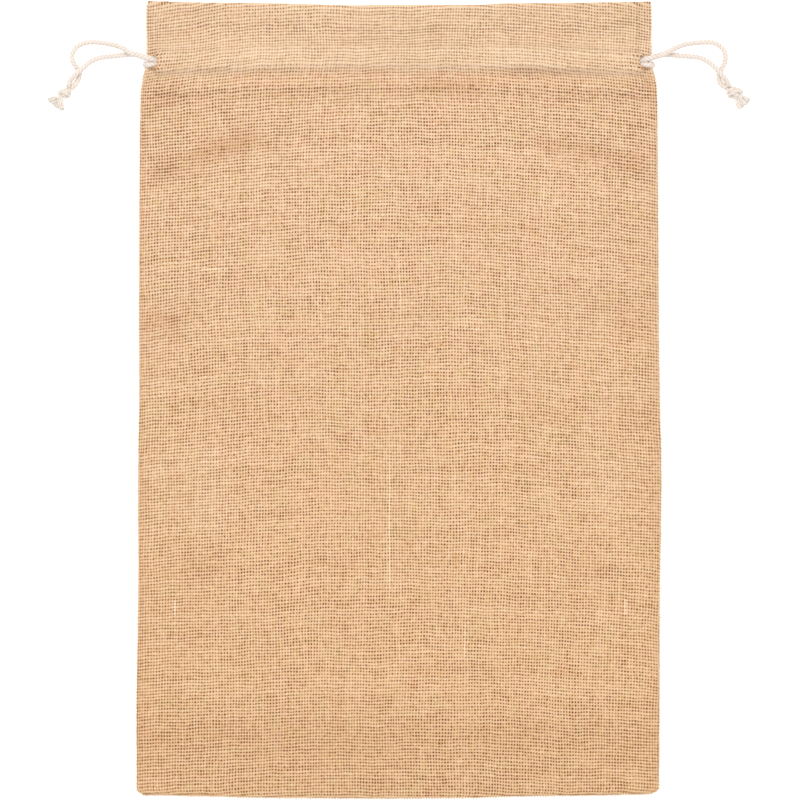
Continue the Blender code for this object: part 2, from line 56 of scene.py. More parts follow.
VIEW_CENTRE = Vector((1.2, 0.2, 8.0)) * MM
VIEW_WIDTH = 467.2 * MM  # taken in, at the height of the cloth
CAMERA_HEIGHT = 5.0
SENSOR = 36.0  # mm
TABLE_SIZE = 4.0
TABLE_COLOUR = (1.0, 1.0, 1.0, 1)
TABLE_GLOW = 0.4  # lit from below as well, so that hardly a shadow shows
ROOM_LIGHT = 0.8

scene = bpy.context.scene
scene.view_settings.view_transform = "Standard"

room = bpy.data.worlds.new("room")
room.use_nodes = True
room.node_tree.nodes["Background"].inputs["Color"].default_value = (1.0, 1.0, 1.0, 1)
room.node_tree.nodes["Background"].inputs["Strength"].default_value = ROOM_LIGHT
scene.world = room

Lamp = namedtuple("Lamp", "name x y z size power")
LAMPS = (
    Lamp("key_lamp", -0.35, 1.1, 2.1, 1.6, 33.0),
    Lamp("fill_lamp", 0.9, -0.9, 2.0, 1.8, 12.0),
)
for lamp in LAMPS:
    light = bpy.data.lights.new(lamp.name, "AREA")
    light.size = lamp.size
    light.energy = lamp.power
    held = bpy.data.objects.new(lamp.name, light)
    held.location = (lamp.x, lamp.y, lamp.z)
    held.rotation_euler = (-held.location).to_track_quat("-Z", "Y").to_euler()
    scene.collection.objects.link(held)

camera = bpy.data.objects.new("camera", bpy.data.cameras.new("camera"))
camera.data.sensor_width = SENSOR
camera.data.lens = SENSOR * CAMERA_HEIGHT / VIEW_WIDTH
camera.data.clip_end = 3 * CAMERA_HEIGHT
camera.location = VIEW_CENTRE + Vector((0, 0, CAMERA_HEIGHT))
scene.collection.objects.link(camera)
scene.camera = camera


class Value:
    """A socket of a shader. Python's operators on it add Math nodes to the same shader."""

    def __init__(self, socket):
        self.socket = socket

    def node(self, kind, settings=None, inputs=None, output=0):
        """A new node's output, its settings made first and its sockets filled."""
        tree = self.socket.id_data
        made = tree.nodes.new("ShaderNode" + kind)
        for name, value in (settings or {}).items():
            setattr(made, name, value)
        for name, value in (inputs or {}).items():
            if isinstance(value, Value):
                tree.links.new(value.socket, made.inputs[name])
            else:
                made.inputs[name].default_value = value
        return Value(made.outputs[output])

    def maths(self, operation, *values):
        return self.node("Math", {"operation": operation}, dict(enumerate(values)))

    def __add__(self, other):
        return self.maths("ADD", self, other)

    __radd__ = __add__

    def __sub__(self, other):
        return self.maths("SUBTRACT", self, other)

    def __rsub__(self, other):
        return self.maths("SUBTRACT", other, self)

    def __mul__(self, other):
        return self.maths("MULTIPLY", self, other)

    __rmul__ = __mul__

    def __truediv__(self, other):
        return self.maths("DIVIDE", self, other)

    def __rtruediv__(self, other):
        return self.maths("DIVIDE", other, self)

    def __pow__(self, other):
        return self.maths("POWER", self, other)

    def __abs__(self):
        return self.maths("ABSOLUTE", self)

    def floor(self):
        return self.maths("FLOOR", self)

    def cos(self):
        return self.maths("COSINE", self)

    def larger(self, other):
        return self.maths("MAXIMUM", self, other)

    def rise(self, low, high):
        """0 up to low, 1 from high, smooth between. With low above high it falls instead."""
        return self.node("MapRange", {"interpolation_type": "SMOOTHSTEP"}, {0: self, 1: low, 2: high})

    def at(self, y, z=0.0):
        """A place with this as its x."""
        return self.node("CombineXYZ", None, {0: self, 1: y, 2: z})

    def xy(self):
        """The x and the y of this place."""
        return [self.node("SeparateXYZ", None, {0: self}, output=k) for k in (0, 1)]

    def mapped(self, name):
        """The u and the v of one of the piece's own UV maps."""
        return self.node("UVMap", {"uv_map": name}).xy()

    def random(self):
        """One chance number for each place."""
        return self.node("TexWhiteNoise", {"noise_dimensions": "3D"}, {"Vector": self})

    def cloudy(self, scale=1.0, detail=2.0, dimensions="3D"):
        """Smooth noise at this place, about 0.5."""
        settings = {"noise_dimensions": dimensions}
        return self.node("TexNoise", settings, {"Vector": self, "Scale": scale, "Detail": detail})

    def between(self, first, second):
        """The colour this share of the way from the first to the second."""
        return self.node("Mix", {"data_type": "RGBA"}, {0: self, 6: first, 7: second}, output=2)

    def tinted(self, share, colour):
        """This colour multiplied by another, by a share."""
        settings = {"data_type": "RGBA", "blend_type": "MULTIPLY"}
        return self.node("Mix", settings, {0: share, 6: self, 7: colour}, output=2)

    def relief(self, strength, depth):
        """A bump of this height, for a shader's Normal."""
        return self.node("Bump", None, {"Strength": strength, "Distance": depth, "Height": self})


def new_finish(name, roughness, gloss=0.25):
    """(material, its principled shader, a first socket to build from)."""
    made = bpy.data.materials.new(name)
    made.use_nodes = True
    shader = made.node_tree.nodes["Principled BSDF"]
    shader.inputs["Roughness"].default_value = roughness
    shader.inputs["Specular IOR Level"].default_value = gloss
    return made, shader, Value(made.node_tree.nodes.new("ShaderNodeTexCoord").outputs["Object"])


def wear(shader, name, value):
    """Links a value or a colour to a socket of the shader."""
    shader.id_data.links.new(value.socket, shader.inputs[name])


def smooth_object(name, bm, finish):
    """The bmesh as an object with smooth faces that point outwards."""
    bmesh.ops.recalc_face_normals(bm, faces=bm.faces)
    mesh = bpy.data.meshes.new(name)
    bm.to_mesh(mesh)
    bm.free()
    mesh.shade_smooth()
    mesh.materials.append(finish)
    made = bpy.data.objects.new(name, mesh)
    scene.collection.objects.link(made)
    return made


table_finish, table_shader, _ = new_finish("white_table", 0.9)
table_shader.inputs["Base Color"].default_value = TABLE_COLOUR
table_shader.inputs["Emission Color"].default_value = TABLE_COLOUR
table_shader.inputs["Emission Strength"].default_value = TABLE_GLOW
bm = bmesh.new()
bmesh.ops.create_grid(bm, x_segments=1, y_segments=1, size=TABLE_SIZE / 2)
table = smooth_object("table", bm, table_finish)


# ---- Free ends of the two drawcords ----
# Soft cotton cord, three plies laid round each other, natural white. Each side has two ends: the
# front one comes out of the slit over the side margin, the back one from under it. The back end
# crosses over the front one just before the knot that holds the two together.

CORD = 2.7 * MM
PLIES = 3
LAY = 6.8 * MM  # length of one whole turn of a ply
GROOVE = 0.24  # depth between two plies, in radii
CORD_SIDES = 24
CORD_STEP = 0.42  # mm from ring to ring
ROUTE_FINE = 12  # points read between two of a route's own
COTTON = (0.705, 0.624, 0.563, 1)
# painted shade in the grooves between the plies
COTTON_GROOVE_SHADE = (0.54, 0.445, 0.365, 1)
COTTON_PALE = (0.76, 0.7, 0.65, 1)
COTTON_SOILED = (0.93, 0.87, 0.8, 1)
YARNS_ROUND = 26.0  # streaks of colour to a turn round the cord
YARNS_ALONG = 0.55  # and to a millimetre of it
SOILING = 90.0  # soiled places to a metre
CORD_PROUD = 1.18  # the plies' crowns stand this much over the cord's mean size
SLACK = 0.48  # a front end is slack at the slit, and thicker by this share
SLACK_END = 0.42  # it is tight again this share of the way along
KNOT_SLACK = 0.02  # both ends are slack again before the knot
KNOT_SLACK_START = 0.74

# Each end's route from its casing to its knot, as (x, y, z) in mm.
LEFT_FRONT_END = (
    (-123.9, 199.5, 10.7), (-128.6, 199.3, 10.15), (-133.2, 199, 10.1), (-136.4, 198.9, 10.05),
    (-139, 198.9, 9.35), (-141.6, 199, 8.6), (-144.8, 199.5, 8.35), (-148.6, 200.6, 8.1),
    (-152.4, 201.9, 7), (-155.4, 202.7, 6.1), (-158.3, 204.3, 5.1), (-161.2, 206, 4.1),
    (-165.6, 207.7, 2.6), (-171.6, 208.9, 1.6), (-178.2, 209.5, 1.45), (-182.8, 209.1, 1.45),
    (-186.6, 207.5, 1.45), (-189.4, 204.8, 1.45), (-190.6, 201.6, 1.45), (-190.2, 198.5, 1.45),
    (-188.6, 195.6, 1.45), (-186.7, 193, 1.45), (-186.2, 190.4, 1.45), (-186.9, 187.5, 1.45),
    (-188.65, 184.7, 1.75), (-191.1, 182.1, 2.3),
)
LEFT_BACK_END = (
    (-123.9, 199.5, 3.05), (-129, 199.3, 3.05), (-134.4, 199, 3.05), (-137.4, 198.9, 2.9),
    (-140.6, 198.95, 2.05), (-144.6, 199.6, 1.6), (-148.4, 200.7, 1.5), (-152.4, 201.8, 1.45),
    (-156, 202.3, 1.45), (-161.1, 201.8, 1.45), (-167, 201.2, 1.45), (-172.8, 200.6, 1.5),
    (-177.2, 199.3, 2), (-181, 197, 3.1), (-184.2, 194.1, 4.4), (-187.2, 191.5, 4.6),
    (-190, 189, 3.6), (-191.9, 186.4, 2.8), (-192.7, 183.3, 2.6),
)
RIGHT_FRONT_END = (
    (124.7, 199.5, 10.2), (129.3, 199.3, 10.1), (134, 199, 10.1), (137.2, 198.9, 10.05),
    (139.8, 198.9, 9.35), (142.4, 199, 8.6), (145.6, 199.4, 8.35), (149.6, 200.5, 8.1),
    (153.7, 201.8, 7), (157.3, 203.2, 5.9), (160.7, 205.2, 4.7), (163.8, 206.7, 3.7),
    (168.2, 208.2, 2.4), (173.6, 209, 1.6), (179.2, 209.4, 1.45), (184.2, 209.2, 1.45),
    (188.2, 207.3, 1.45), (190.9, 204.2, 1.45), (191.6, 200.6, 1.45), (190.9, 197, 1.45),
    (189.3, 194, 1.45), (187.9, 191.2, 1.45), (187.5, 188.2, 1.45), (189, 184.8, 1.75),
    (192.3, 182.7, 2.2),
)
RIGHT_BACK_END = (
    (124.7, 199.5, 3.05), (129.8, 199.3, 3.05), (135.2, 199, 3.05), (138.2, 198.9, 2.95),
    (141.4, 198.95, 2.05), (145.4, 199.4, 1.6), (149.6, 200.6, 1.5), (153.7, 201.7, 1.45),
    (157.3, 202.2, 1.45), (161.6, 201.8, 1.45), (167, 201.3, 1.45), (172.8, 200.9, 1.5),
    (177.4, 200, 1.9), (181.2, 198, 2.9), (184.4, 195.4, 4.2), (187.3, 192.4, 4.6),
    (189.9, 189.6, 4.4), (192, 186.9, 3.2), (193.7, 183.8, 2.6),
)


def smooth_route(route, spacing):
    """Points in metres, about evenly apart, on a smooth curve through a route's points in mm."""
    own = [Vector(point) for point in route]
    own = [own[0] * 2 - own[1]] + own + [own[-1] * 2 - own[-2]]
    fine = []
    for before, start, end, after in zip(own, own[1:], own[2:], own[3:]):
        for k in range(ROUTE_FINE):
            t = k / ROUTE_FINE
            fine.append(
                start
                + (end - before) * t / 2
                + (before * 2 - start * 5 + end * 4 - after) * t**2 / 2
                + (start * 3 - before - end * 3 + after) * t**3 / 2
            )
    fine.append(own[-2])
    reach = [0.0]
    for start, end in zip(fine, fine[1:]):
        reach.append(reach[-1] + (end - start).length)
    count = max(2, round(reach[-1] / spacing))
    points, k = [], 0
    for step in range(count + 1):
        target = reach[-1] * step / count
        while k < len(fine) - 2 and reach[k + 1] < target:
            k += 1
        t = (target - reach[k]) / (reach[k + 1] - reach[k])
        points.append(fine[k].lerp(fine[k + 1], t) * MM)
    return points


def laid_cord(bm, points, twist, thickness, plies=PLIES, sides=CORD_SIDES, groove=GROOVE):
    """Adds a closed tube along the points, as a cord of plies laid round each other. Its length.

    thickness is a function of the share of the way along. twist is 1 for one hand of the lay and -1
    for the other. The UV map holds the turn within the plies and the length along the cord, in mm.
    """
    layer = bm.loops.layers.uv.get("lay") or bm.loops.layers.uv.new("lay")
    last = len(points) - 1
    made = bmesh.ops.create_grid(bm, x_segments=sides, y_segments=last, size=1)["verts"]
    rings = [[None] * (sides + 1) for _ in points]
    for vert in made:
        rings[round((vert.co.y + 1) / 2 * last)][round((vert.co.x + 1) / 2 * sides)] = vert
    side, run, where = Vector((0, 0, 1)), 0.0, {}
    for k, ring in enumerate(rings):
        ahead = (points[min(k + 1, last)] - points[max(k - 1, 0)]).normalized()
        if k == 0:
            side = ahead.cross(Vector((0, 0, 1)))
        side = (side - ahead * side.dot(ahead)).normalized()
        up = side.cross(ahead)
        turn = twist * math.tau * run / LAY
        for i, vert in enumerate(ring):
            angle = math.tau * i / sides
            lobe = abs(math.cos(plies / 2 * (angle - turn)))
            size = thickness(k / last) / 2 * (1 - groove + groove * lobe)
            vert.co = points[k] + (side * math.cos(angle) + up * math.sin(angle)) * size
            where[vert] = ((angle - turn) / math.tau, run / MM)
        if k < last:
            run += (points[k + 1] - points[k]).length
    for face in {face for vert in made for face in vert.link_faces}:
        for loop in face.loops:
            loop[layer].uv = where[loop.vert]
    bmesh.ops.weld_verts(bm, targetmap={ring[-1]: ring[0] for ring in rings})
    for ring in (rings[0], rings[-1]):
        bmesh.ops.contextual_create(bm, geom=ring[:-1])
    return run


def end_width(t, slack):
    """Thickness of a free end at a share of its length."""
    at_exit = slack * max(0.0, 1 - t / SLACK_END)
    near_knot = max(0.0, t - KNOT_SLACK_START) / (1 - KNOT_SLACK_START)
    return CORD * (CORD_PROUD + at_exit + KNOT_SLACK * min(1.0, 2 * near_knot))


cotton, cotton_shader, spot = new_finish("natural_cotton", 0.85)
lay_u, lay_v = spot.mapped("lay")
groove = 1 - abs((lay_u * (math.tau * PLIES / 2)).cos())
yarns = (lay_u * YARNS_ROUND).at(lay_v * YARNS_ALONG).cloudy()
soiling = spot.cloudy(SOILING)
# painted shade: the cord is darker in the grooves between its plies
cotton_colour = groove.rise(0.35, 1.0).between(COTTON, COTTON_GROOVE_SHADE)
cotton_colour = yarns.rise(0.45, 0.75).between(cotton_colour, COTTON_PALE)
cotton_colour = cotton_colour.tinted(soiling.rise(0.5, 0.85) * 0.5, COTTON_SOILED)
wear(cotton_shader, "Base Color", cotton_colour)
wear(cotton_shader, "Normal", (yarns - groove * 0.5).relief(0.35, 0.25 * MM))

FreeEnd = namedtuple("FreeEnd", "name route twist slack exit")
FREE_ENDS = (
    FreeEnd("left_front_cord_end", LEFT_FRONT_END, 1, SLACK, (-139.0, 198.9, 9.35)),
    FreeEnd("left_back_cord_end", LEFT_BACK_END, 1, 0.0, (-139.0, 198.92, 2.45)),
    FreeEnd("right_front_cord_end", RIGHT_FRONT_END, -1, SLACK, (139.8, 198.9, 9.35)),
    FreeEnd("right_back_cord_end", RIGHT_BACK_END, -1, 0.0, (139.8, 198.92, 2.45)),
)
free_ends = {}
for end in FREE_ENDS:
    points = smooth_route(end.route, CORD_STEP)
    bm = bmesh.new()
    length = laid_cord(bm, points, end.twist, lambda t: end_width(t, end.slack))
    piece = smooth_object(end.name, bm, cotton)
    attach(piece, "root")
    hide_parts(end.name.replace("_cord", ""))
    free_ends[end.name] = (piece, points, length, end.exit)


# ---- Knots ----
# Both ends of a side are tied together in one overhand knot, drawn tight, and cut off below it.
# The cut cord has opened into a small fan of loose yarns, which lies on the table.

KNOT_CORD = 1.95 * MM  # the cord is pressed thinner in the knot
KNOT_PRESS = 0.9
KNOT_STEP = 0.3
CORE_HALF = (3.3, 1.9, 1.7)  # mm. The core fills the knot between its turns
CORE_PLACE = (0.2, -0.1, 2.0)
CORE_LEAN = 28
YARN_COUNT = 130
YARN_STEPS = 7
YARN_SIDES = 4
YARN = 0.4 * MM
YARN_END = 0.35  # a yarn is thinner by this share at its tip
YARN_SHORTER = 0.16  # and shorter than the fan by up to this share
SWAY = 0.2  # mm that it bends sideways
COLLAR_RISE = 1.5  # mm. The fan leaves the knot about this high
COLLAR_HIGH = 0.75  # up to this much over and under it
FAN_REST = 0.22  # its lowest tips' height, and how much higher the others lie
FAN_HIGH = 0.66
LOOSE_LIGHT = (0.86, 0.8, 0.735, 1)
LOOSE_DEEP = (0.72, 0.645, 0.57, 1)

TURNS = (  # the knot's visible turns of cord, from the knot's middle, with z from the table
    (
        (3.1, 1.3, 3.2), (1.4, 0.9, 4.3), (-0.7, 1.1, 4.6), (-2.5, 1, 3.9),
        (-3.5, 0.1, 2.4), (-3, -1.4, 1.5), (-1.6, -2.3, 1.5),
    ),
    (
        (0.9, 3, 3), (-0.9, 2.5, 3.6), (-2.8, 1.9, 3), (-4, 0.8, 1.9),
        (-3.6, -0.9, 1.5), (-2.5, -2.4, 1.4),
    ),
    (
        (0.3, 2.2, 2.6), (1.4, 2.2, 4), (3.1, 1.5, 4), (4.3, 0.4, 2.6),
        (3.6, -0.8, 1.4), (1, -1.5, 1.4),
    ),
    (
        (-0.8, 0.2, 3), (0.4, 0, 4.3), (2.2, -0.5, 4.2), (3.6, -1.4, 2.8),
        (3, -2.4, 1.5), (1, -2.6, 1.4), (-1, -2.2, 1.5),
    ),
)

# The locks bound the fan of yarns: (root x, root y, tip x, tip y) from the knot's middle, in mm.
LEFT_LOCKS = (
    (-2.9, -0.9, -10.3, -2.8), (-2.4, -1.2, -9, -5.3), (-1.6, -1.5, -5.2, -8.5),
    (-0.7, -1.7, -2, -10.2), (0.1, -1.8, -0.3, -9.7),
)
RIGHT_LOCKS = (
    (3.4, -0.9, 9.9, -3.3), (2.7, -1.4, 7.9, -6.5),
    (1.4, -1.9, 2.9, -10.3), (0.2, -2.1, 0.3, -7.7),
)
Knot = namedtuple("Knot", "side x y hand size locks")
KNOTS = (
    Knot("left", -195.0, 179.4, 1, 0.78, LEFT_LOCKS),
    Knot("right", 197.0, 179.8, -1, 0.98, RIGHT_LOCKS),
)


def read_list(values, share):
    """The value at a share of the way along a list."""
    place = share * (len(values) - 1)
    k = min(len(values) - 2, int(place))
    return values[k] + (values[k + 1] - values[k]) * (place - k)


def yarn_width(t):
    """Thickness of a loose yarn at a share of its length."""
    return YARN * (1.1 - YARN_END * t)


loose_cotton, loose_shader, spot = new_finish("loose_cotton", 0.9)
loose_streaks = spot.cloudy(700.0)
wear(loose_shader, "Base Color", loose_streaks.rise(0.35, 0.65).between(LOOSE_DEEP, LOOSE_LIGHT))

chance = random.Random(7)
for knot in KNOTS:
    middle = Vector((knot.x, knot.y, 0))
    cords = [free_ends[f"{knot.side}_{end}_cord_end"] for end in ("front", "back")]
    entries = [points[-1] / MM for cord_piece, points, length, cord_exit in cords]
    bm = bmesh.new()
    for k, turn in enumerate(TURNS):  # the first two go on from the free ends
        sized = [(x * knot.hand * knot.size, y * knot.size, z * KNOT_PRESS) for x, y, z in turn]
        own = [middle + Vector(point) for point in sized]
        laid_cord(bm, smooth_route(entries[k : k + 1] + own, KNOT_STEP), knot.hand, lambda t: KNOT_CORD)
    core = bmesh.ops.create_uvsphere(bm, u_segments=16, v_segments=10, radius=1)["verts"]
    long, wide, high = CORE_HALF
    inside = Matrix.Diagonal((long * MM * knot.size, wide * MM * knot.size, high * MM, 1))
    lean = Matrix.Rotation(math.radians(CORE_LEAN * knot.hand), 4, "Z")
    x, y, z = CORE_PLACE
    place = Matrix.Translation((middle + Vector((x * knot.hand, y, z))) * MM)
    bmesh.ops.transform(bm, matrix=place @ lean @ inside, verts=core)
    head = set(bm.faces)
    for k in range(YARN_COUNT):
        share = min(1.0, max(0.0, (k + 0.5) / YARN_COUNT + chance.uniform(-0.02, 0.02)))
        height = chance.random()
        root_x, root_y, tip_x, tip_y = [read_list(column, share) for column in zip(*knot.locks)]
        root = Vector((root_x, root_y))
        far = root.lerp(Vector((tip_x, tip_y)), 1 - YARN_SHORTER * chance.random() ** 2)
        start = middle + Vector((*root, COLLAR_RISE + COLLAR_HIGH * (2 * height - 1)))
        tip = middle + Vector((*far, FAN_REST + FAN_HIGH * height))
        along_yarn = (tip - start).normalized()
        sway = chance.uniform(-SWAY, SWAY)
        own = [start]
        for step in (0.35, 0.7):
            bend = start.lerp(tip, step)
            bend.z = tip.z + (start.z - tip.z) * (1 - step) ** 1.6
            own.append(bend + Vector((-along_yarn.y, along_yarn.x, 0)) * sway * math.sin(math.pi * step))
        own.append(tip)
        points = smooth_route(own, (tip - start).length / YARN_STEPS)
        laid_cord(bm, points, 1, yarn_width, plies=2, sides=YARN_SIDES, groove=0.0)
    for face in bm.faces:
        face.material_index = int(face not in head)
    piece = smooth_object(knot.side + "_tied_knot", bm, cotton)
    piece.data.materials.append(loose_cotton)
    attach(piece, "root")
    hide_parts(knot.side + "_knot")
    for cord_piece, points, length, cord_exit in cords:
        [value * MM for value in cord_exit]


# ---- Front and back panel ----
# Plain-woven jute, thick uneven yarns with open squares between them. Each panel is one sheet: its
# top is turned down inside as a deep hem, and the two cords run between the outer layer and the hem.
# A slit beside each edge lets them out, and the side margin outside it carries them.

CLOTH = 1.2 * MM
GAP = 0.3 * MM
LAYER = CLOTH + GAP
CORD_REST = 0.5 * MM
CORD_ROOM = CORD + 0.8 * MM
TOP = 232 * MM
BOTTOM = -232.5 * MM
CORNER = 3.5 * MM
HEM_END = 186 * MM
CORD_LINE = 197.5 * MM  # the channel's middle
CORD_ARCH = 3.5 * MM  # it lies this much higher in the middle of the sack
CORD_APART = 1.5 * MM
CROSSING_LIFT = 2 * CORD_APART + 0.25 * MM
CROSSING_ROOM = CROSSING_LIFT + 0.15 * MM
CHANNEL_FLAT = 3.9 * MM  # half its width over the cords, and at its foot
CHANNEL_FOOT = 8.5 * MM
MOUTH_REST = 0.5 * MM
HEM_SIDE = 0.905  # these are shares of the half width
SLIT_IN = 0.933
SLIT_LIP = 0.951  # the casing's mouth reaches this far over the cords
SLIT_OUT = 0.96
SLIT_HALF = 3.3 * MM
LIP_OUT = 0.953  # the outer layer stays up over the cords as far as here
LIP_RUN = 2 * MM
CORD_JOINT = 0.84
FRONT_CROSSING = 0.62
BACK_CROSSING = -0.62
CROSSING_HALF = 0.1
BUMP_FLAT = 0.12
BUMP_FOOT = 0.25
STRIP_LIFT = CORD + 1.2 * MM
STRIP_FOOT = 16 * MM
LEFT_NOTCH = 3.6 * MM  # the cord draws each edge in this far
RIGHT_NOTCH = 3.2 * MM
NOTCH_WIDTH = 1.7 * MM
LIP_ROUND = 1.7 * MM  # the slit's two ends bend outwards this far
LIP_SOFT = 0.9 * MM
EDGE_YARN = 1.25 * MM  # thickness of the yarns that turn round the edges
EDGE_FROM = 0.97  # the cloth makes room for them from here on
EDGE_FOOT = 4 * MM
TOP_FADE = 24 * MM  # how far the two ends' waves reach in
BOTTOM_FADE = 70 * MM
FOLD_TOP = 10 * MM  # the folds fade over these towards the edges
FOLD_FOOT = 25 * MM
FOLD_SIDE = 4.0
HEM_FOOT = HEM_END - 10 * MM  # the outer layer rises over the hem from here
HEM_RISE = 8 * MM
CROWN_BLEND = 0.4 * MM
CROWN_POWER = 4.0
CORNER_STEP = 0.9 * MM  # of the grid's rows
TURN_ROWS = 8
MIDDLE_END = 0.86  # closer columns outside this share
HAIR = 1e-6

Section = namedtuple("Section", "y left right")
OUTLINE = (
    Section(-232.5, -153, 152.4), Section(-175, -153.1, 152.8), Section(-117, -152.1, 152.9),
    Section(-60, -152.1, 153.8), Section(-29, -152, 153.7), Section(0, -151.5, 152.9),
    Section(59, -151.6, 152.3), Section(117, -151.4, 151.9), Section(175, -150.8, 151.4),
    Section(186, -149.9, 150.7), Section(193, -148.4, 149.1), Section(202, -147.1, 148),
    Section(222, -147.4, 148), Section(232, -146.9, 148),
)
Crown = namedtuple("Crown", "y rise")
CROWN = (
    Crown(-232.5, 0), Crown(-225, 2), Crown(-212, 4.6), Crown(-190, 7.6),
    Crown(-160, 9.6), Crown(-100, 10.2), Crown(0, 10), Crown(100, 10.2),
    Crown(186, 10.1), Crown(232, 10.1),
)
Edge = namedtuple("Edge", "x shift")
TOP_EDGE = (
    Edge(-147, 1), Edge(-132, 0.4), Edge(-115, -0.2), Edge(-87, -0.5),
    Edge(-57, -1.2), Edge(-28, -2), Edge(-10, -1.8), Edge(45, -1.8),
    Edge(60, -1), Edge(88, -0.6), Edge(128, 0), Edge(148, 0.7),
)
BOTTOM_EDGE = (
    Edge(-148, 1.9), Edge(-115, 1.4), Edge(-86, 0.6), Edge(-57, 0.3),
    Edge(-13, 0), Edge(45, 0.4), Edge(60, 1), Edge(89, 1.5),
    Edge(118, 1.8), Edge(148, 2.6),
)
Fold = namedtuple("Fold", "x1 y1 x2 y2 width height")
FOLDS = (  # ridges (+) and troughs (-) in the front, from end to end
    # the shoulders
    Fold(-141, 134, -80, 152, 13, -1.5), Fold(-135, 116, -62, 139, 16, 0.9),
    Fold(141, 134, 80, 152, 13, -1.5), Fold(135, 116, 64, 140, 16, 0.9),
    # the neck
    Fold(-146, 174, -118, 171, 11, -1.3), Fold(146, 174, 120, 171, 11, -1.3),
    # the waist and the hips
    Fold(-148, 50, -112, 44, 18, -1.2), Fold(149, 46, 116, 52, 18, -1.2),
    Fold(-149, -10, -122, -2, 15, -0.9), Fold(150, -62, 112, -54, 20, -1),
    # under the casing and low down
    Fold(-100, 178, 104, 178, 8, -0.7), Fold(-122, -46, -108, -72, 20, 0.8),
    Fold(-96, -168, 88, -176, 20, 0.7), Fold(-120, -203, 118, -200, 12, -0.7),
)
Mark = namedtuple("Mark", "x1 y1 x2 y2 width tone")
LIGHT_SHADE_AND_TONE_MARKS = (  # mostly painted highlights (+) and painted shade (-), with a few darker or paler places in the cloth, from end to end
    # the casing and the heading: painted highlights on the cords' ridge and the top fold, painted shade
    # under the fold
    Mark(-136, 203.5, -57, 203.5, 7, 0.35), Mark(60, 203.5, 141, 203.5, 7, 0.4),
    Mark(-57, 202, 60, 202, 6, 0.1), Mark(-145, 226, -80, 226, 7, -0.25),
    Mark(72, 226, 146, 226, 7, -0.3), Mark(-100, 219, 60, 220, 5, -0.25),
    Mark(-95, 230.2, 95, 230.2, 3, 0.3),
    # along the cords: painted light over the crease at their foot, painted shade on the casing, under
    # the fold and under the casing
    Mark(-138, 191.5, -95, 192.2, 2.4, 0.65), Mark(-95, 194.8, 95, 194.8, 2.2, 0.75),
    Mark(95, 192.4, 138, 191.4, 2.4, 0.8), Mark(-138, 197.5, 138, 197.5, 4, -0.22),
    Mark(-140, 226.5, 140, 226.5, 4, -0.18), Mark(-95, 189.2, 95, 189.2, 4, -0.35),
    # the neck and under the hem: painted shade in the neck's troughs and below the hem's end
    Mark(-148, 175.5, -124, 175, 6, -0.4), Mark(133, 175.5, 151, 175.5, 6, -0.5),
    Mark(-57, 183.6, 60, 183.6, 3, -0.2), Mark(20, 182, 46, 182.5, 6, -0.5),
    # the shoulders: painted shade along their troughs
    Mark(-139, 133, -86, 152, 8, -0.7), Mark(-112, 150, -90, 152, 9, -0.3),
    Mark(86, 149, 141, 137.5, 8, -0.7),
    # one long dark weft
    Mark(-92, 100.7, -28, 100.7, 2.5, -0.3), Mark(-28, 100.7, 95, 100.7, 2.5, -0.55),
    # the waist and the hips: darker places at the sides, mostly painted shade in the troughs
    Mark(-140, 45, -132, 44, 12, -0.7), Mark(136, 47, 142, 46, 11, -0.6),
    Mark(-116, -3, -98, -3, 7, -0.4), Mark(138, -8, 146, -9, 8, -0.4),
    # low on the sack: lighter places, one a painted highlight on a ridge; darker places at the sides;
    # painted shade in the trough near the foot
    Mark(-113, -35, -113, -66, 14, 0.25), Mark(118, -48, 124, -62, 12, 0.2),
    Mark(-116, -99, -108, -99, 12, -0.45), Mark(106, -99, 116, -99, 13, -0.45),
    Mark(-150, -200, 150, -200, 22, -0.4),
    # painted shadow under the cords' turns
    Mark(-145, 194.4, -141, 194.3, 1.2, -1.6), Mark(141.5, 194.4, 146, 194.4, 1.2, -1.6),
)
OPEN_PLACES = (  # places where the squares are pulled open
    # beside the slits
    Mark(-143, 211.5, -142.5, 203.5, 5, 0.45), Mark(143.5, 211.5, 143, 203.5, 5, 0.45),
    # the hem's ends and the shoulders
    Mark(-144, 181, -126, 178, 6, 0.2), Mark(126, 178, 145, 181, 6, 0.2),
    Mark(-141, 133, -130, 137, 6, 0.4), Mark(128, 137, 139, 133, 6, 0.4),
)
Band = namedtuple("Band", "side middle width open_side open_middle")
BANDS = (  # rows of more (+) or less (-) open squares, by their place along the sack
    # the heading
    Band(232.2, 231.6, 2.2, -0.1, -0.5),
    Band(224, 221.2, 1.8, -0.05, -0.2),
    Band(219.6, 215.7, 2.4, 0.15, 0.15),
    # the casing
    Band(207, 204.3, 2.1, -0.2, -0.1),
    Band(198, 196.2, 2, -0.12, -0.12),
    Band(192.7, 191.2, 1.5, -0.05, -0.05),
    # the hem and below it
    Band(187.4, 185, 1.4, -0.2, -0.2),
    Band(179.8, 181.9, 1.8, 0.3, 0.15),
    Band(176, 178, 7, 0, -0.05),
    Band(158, 160, 14, 0.18, 0.12),
    Band(-205, -205, 30, 0.12, 0.1),
)
BAND_SIDE = 0.78  # the share at which the sides' places were taken
BAND_OUT = 1.3  # a band's slope goes on this far outside it
WARPS = 184  # yarns across the panel
WEFT_PITCH = 1.91 * MM
WEFT_ARCH = 9.8 * MM  # the mouth's wefts lie this much higher in the middle
WEFT_ARCH_FOOT = 5 * MM
WEFT_ARCH_POWER = 2.3
WEFT_ARCH_IN = 0.5 * MM  # the arch ends this far inside the right edge
CLOSE_FROM, CLOSE_RUN, CLOSER = 189 * MM, 27 * MM, 0.09  # the casing's wefts lie closer by this share
PULL = 0.6 * MM  # the slits draw the wefts beside them apart by this
PULL_SHARE = 0.1  # over this share of the half width
PULL_REACH = 11 * MM
PULL_SOFT = 5 * MM
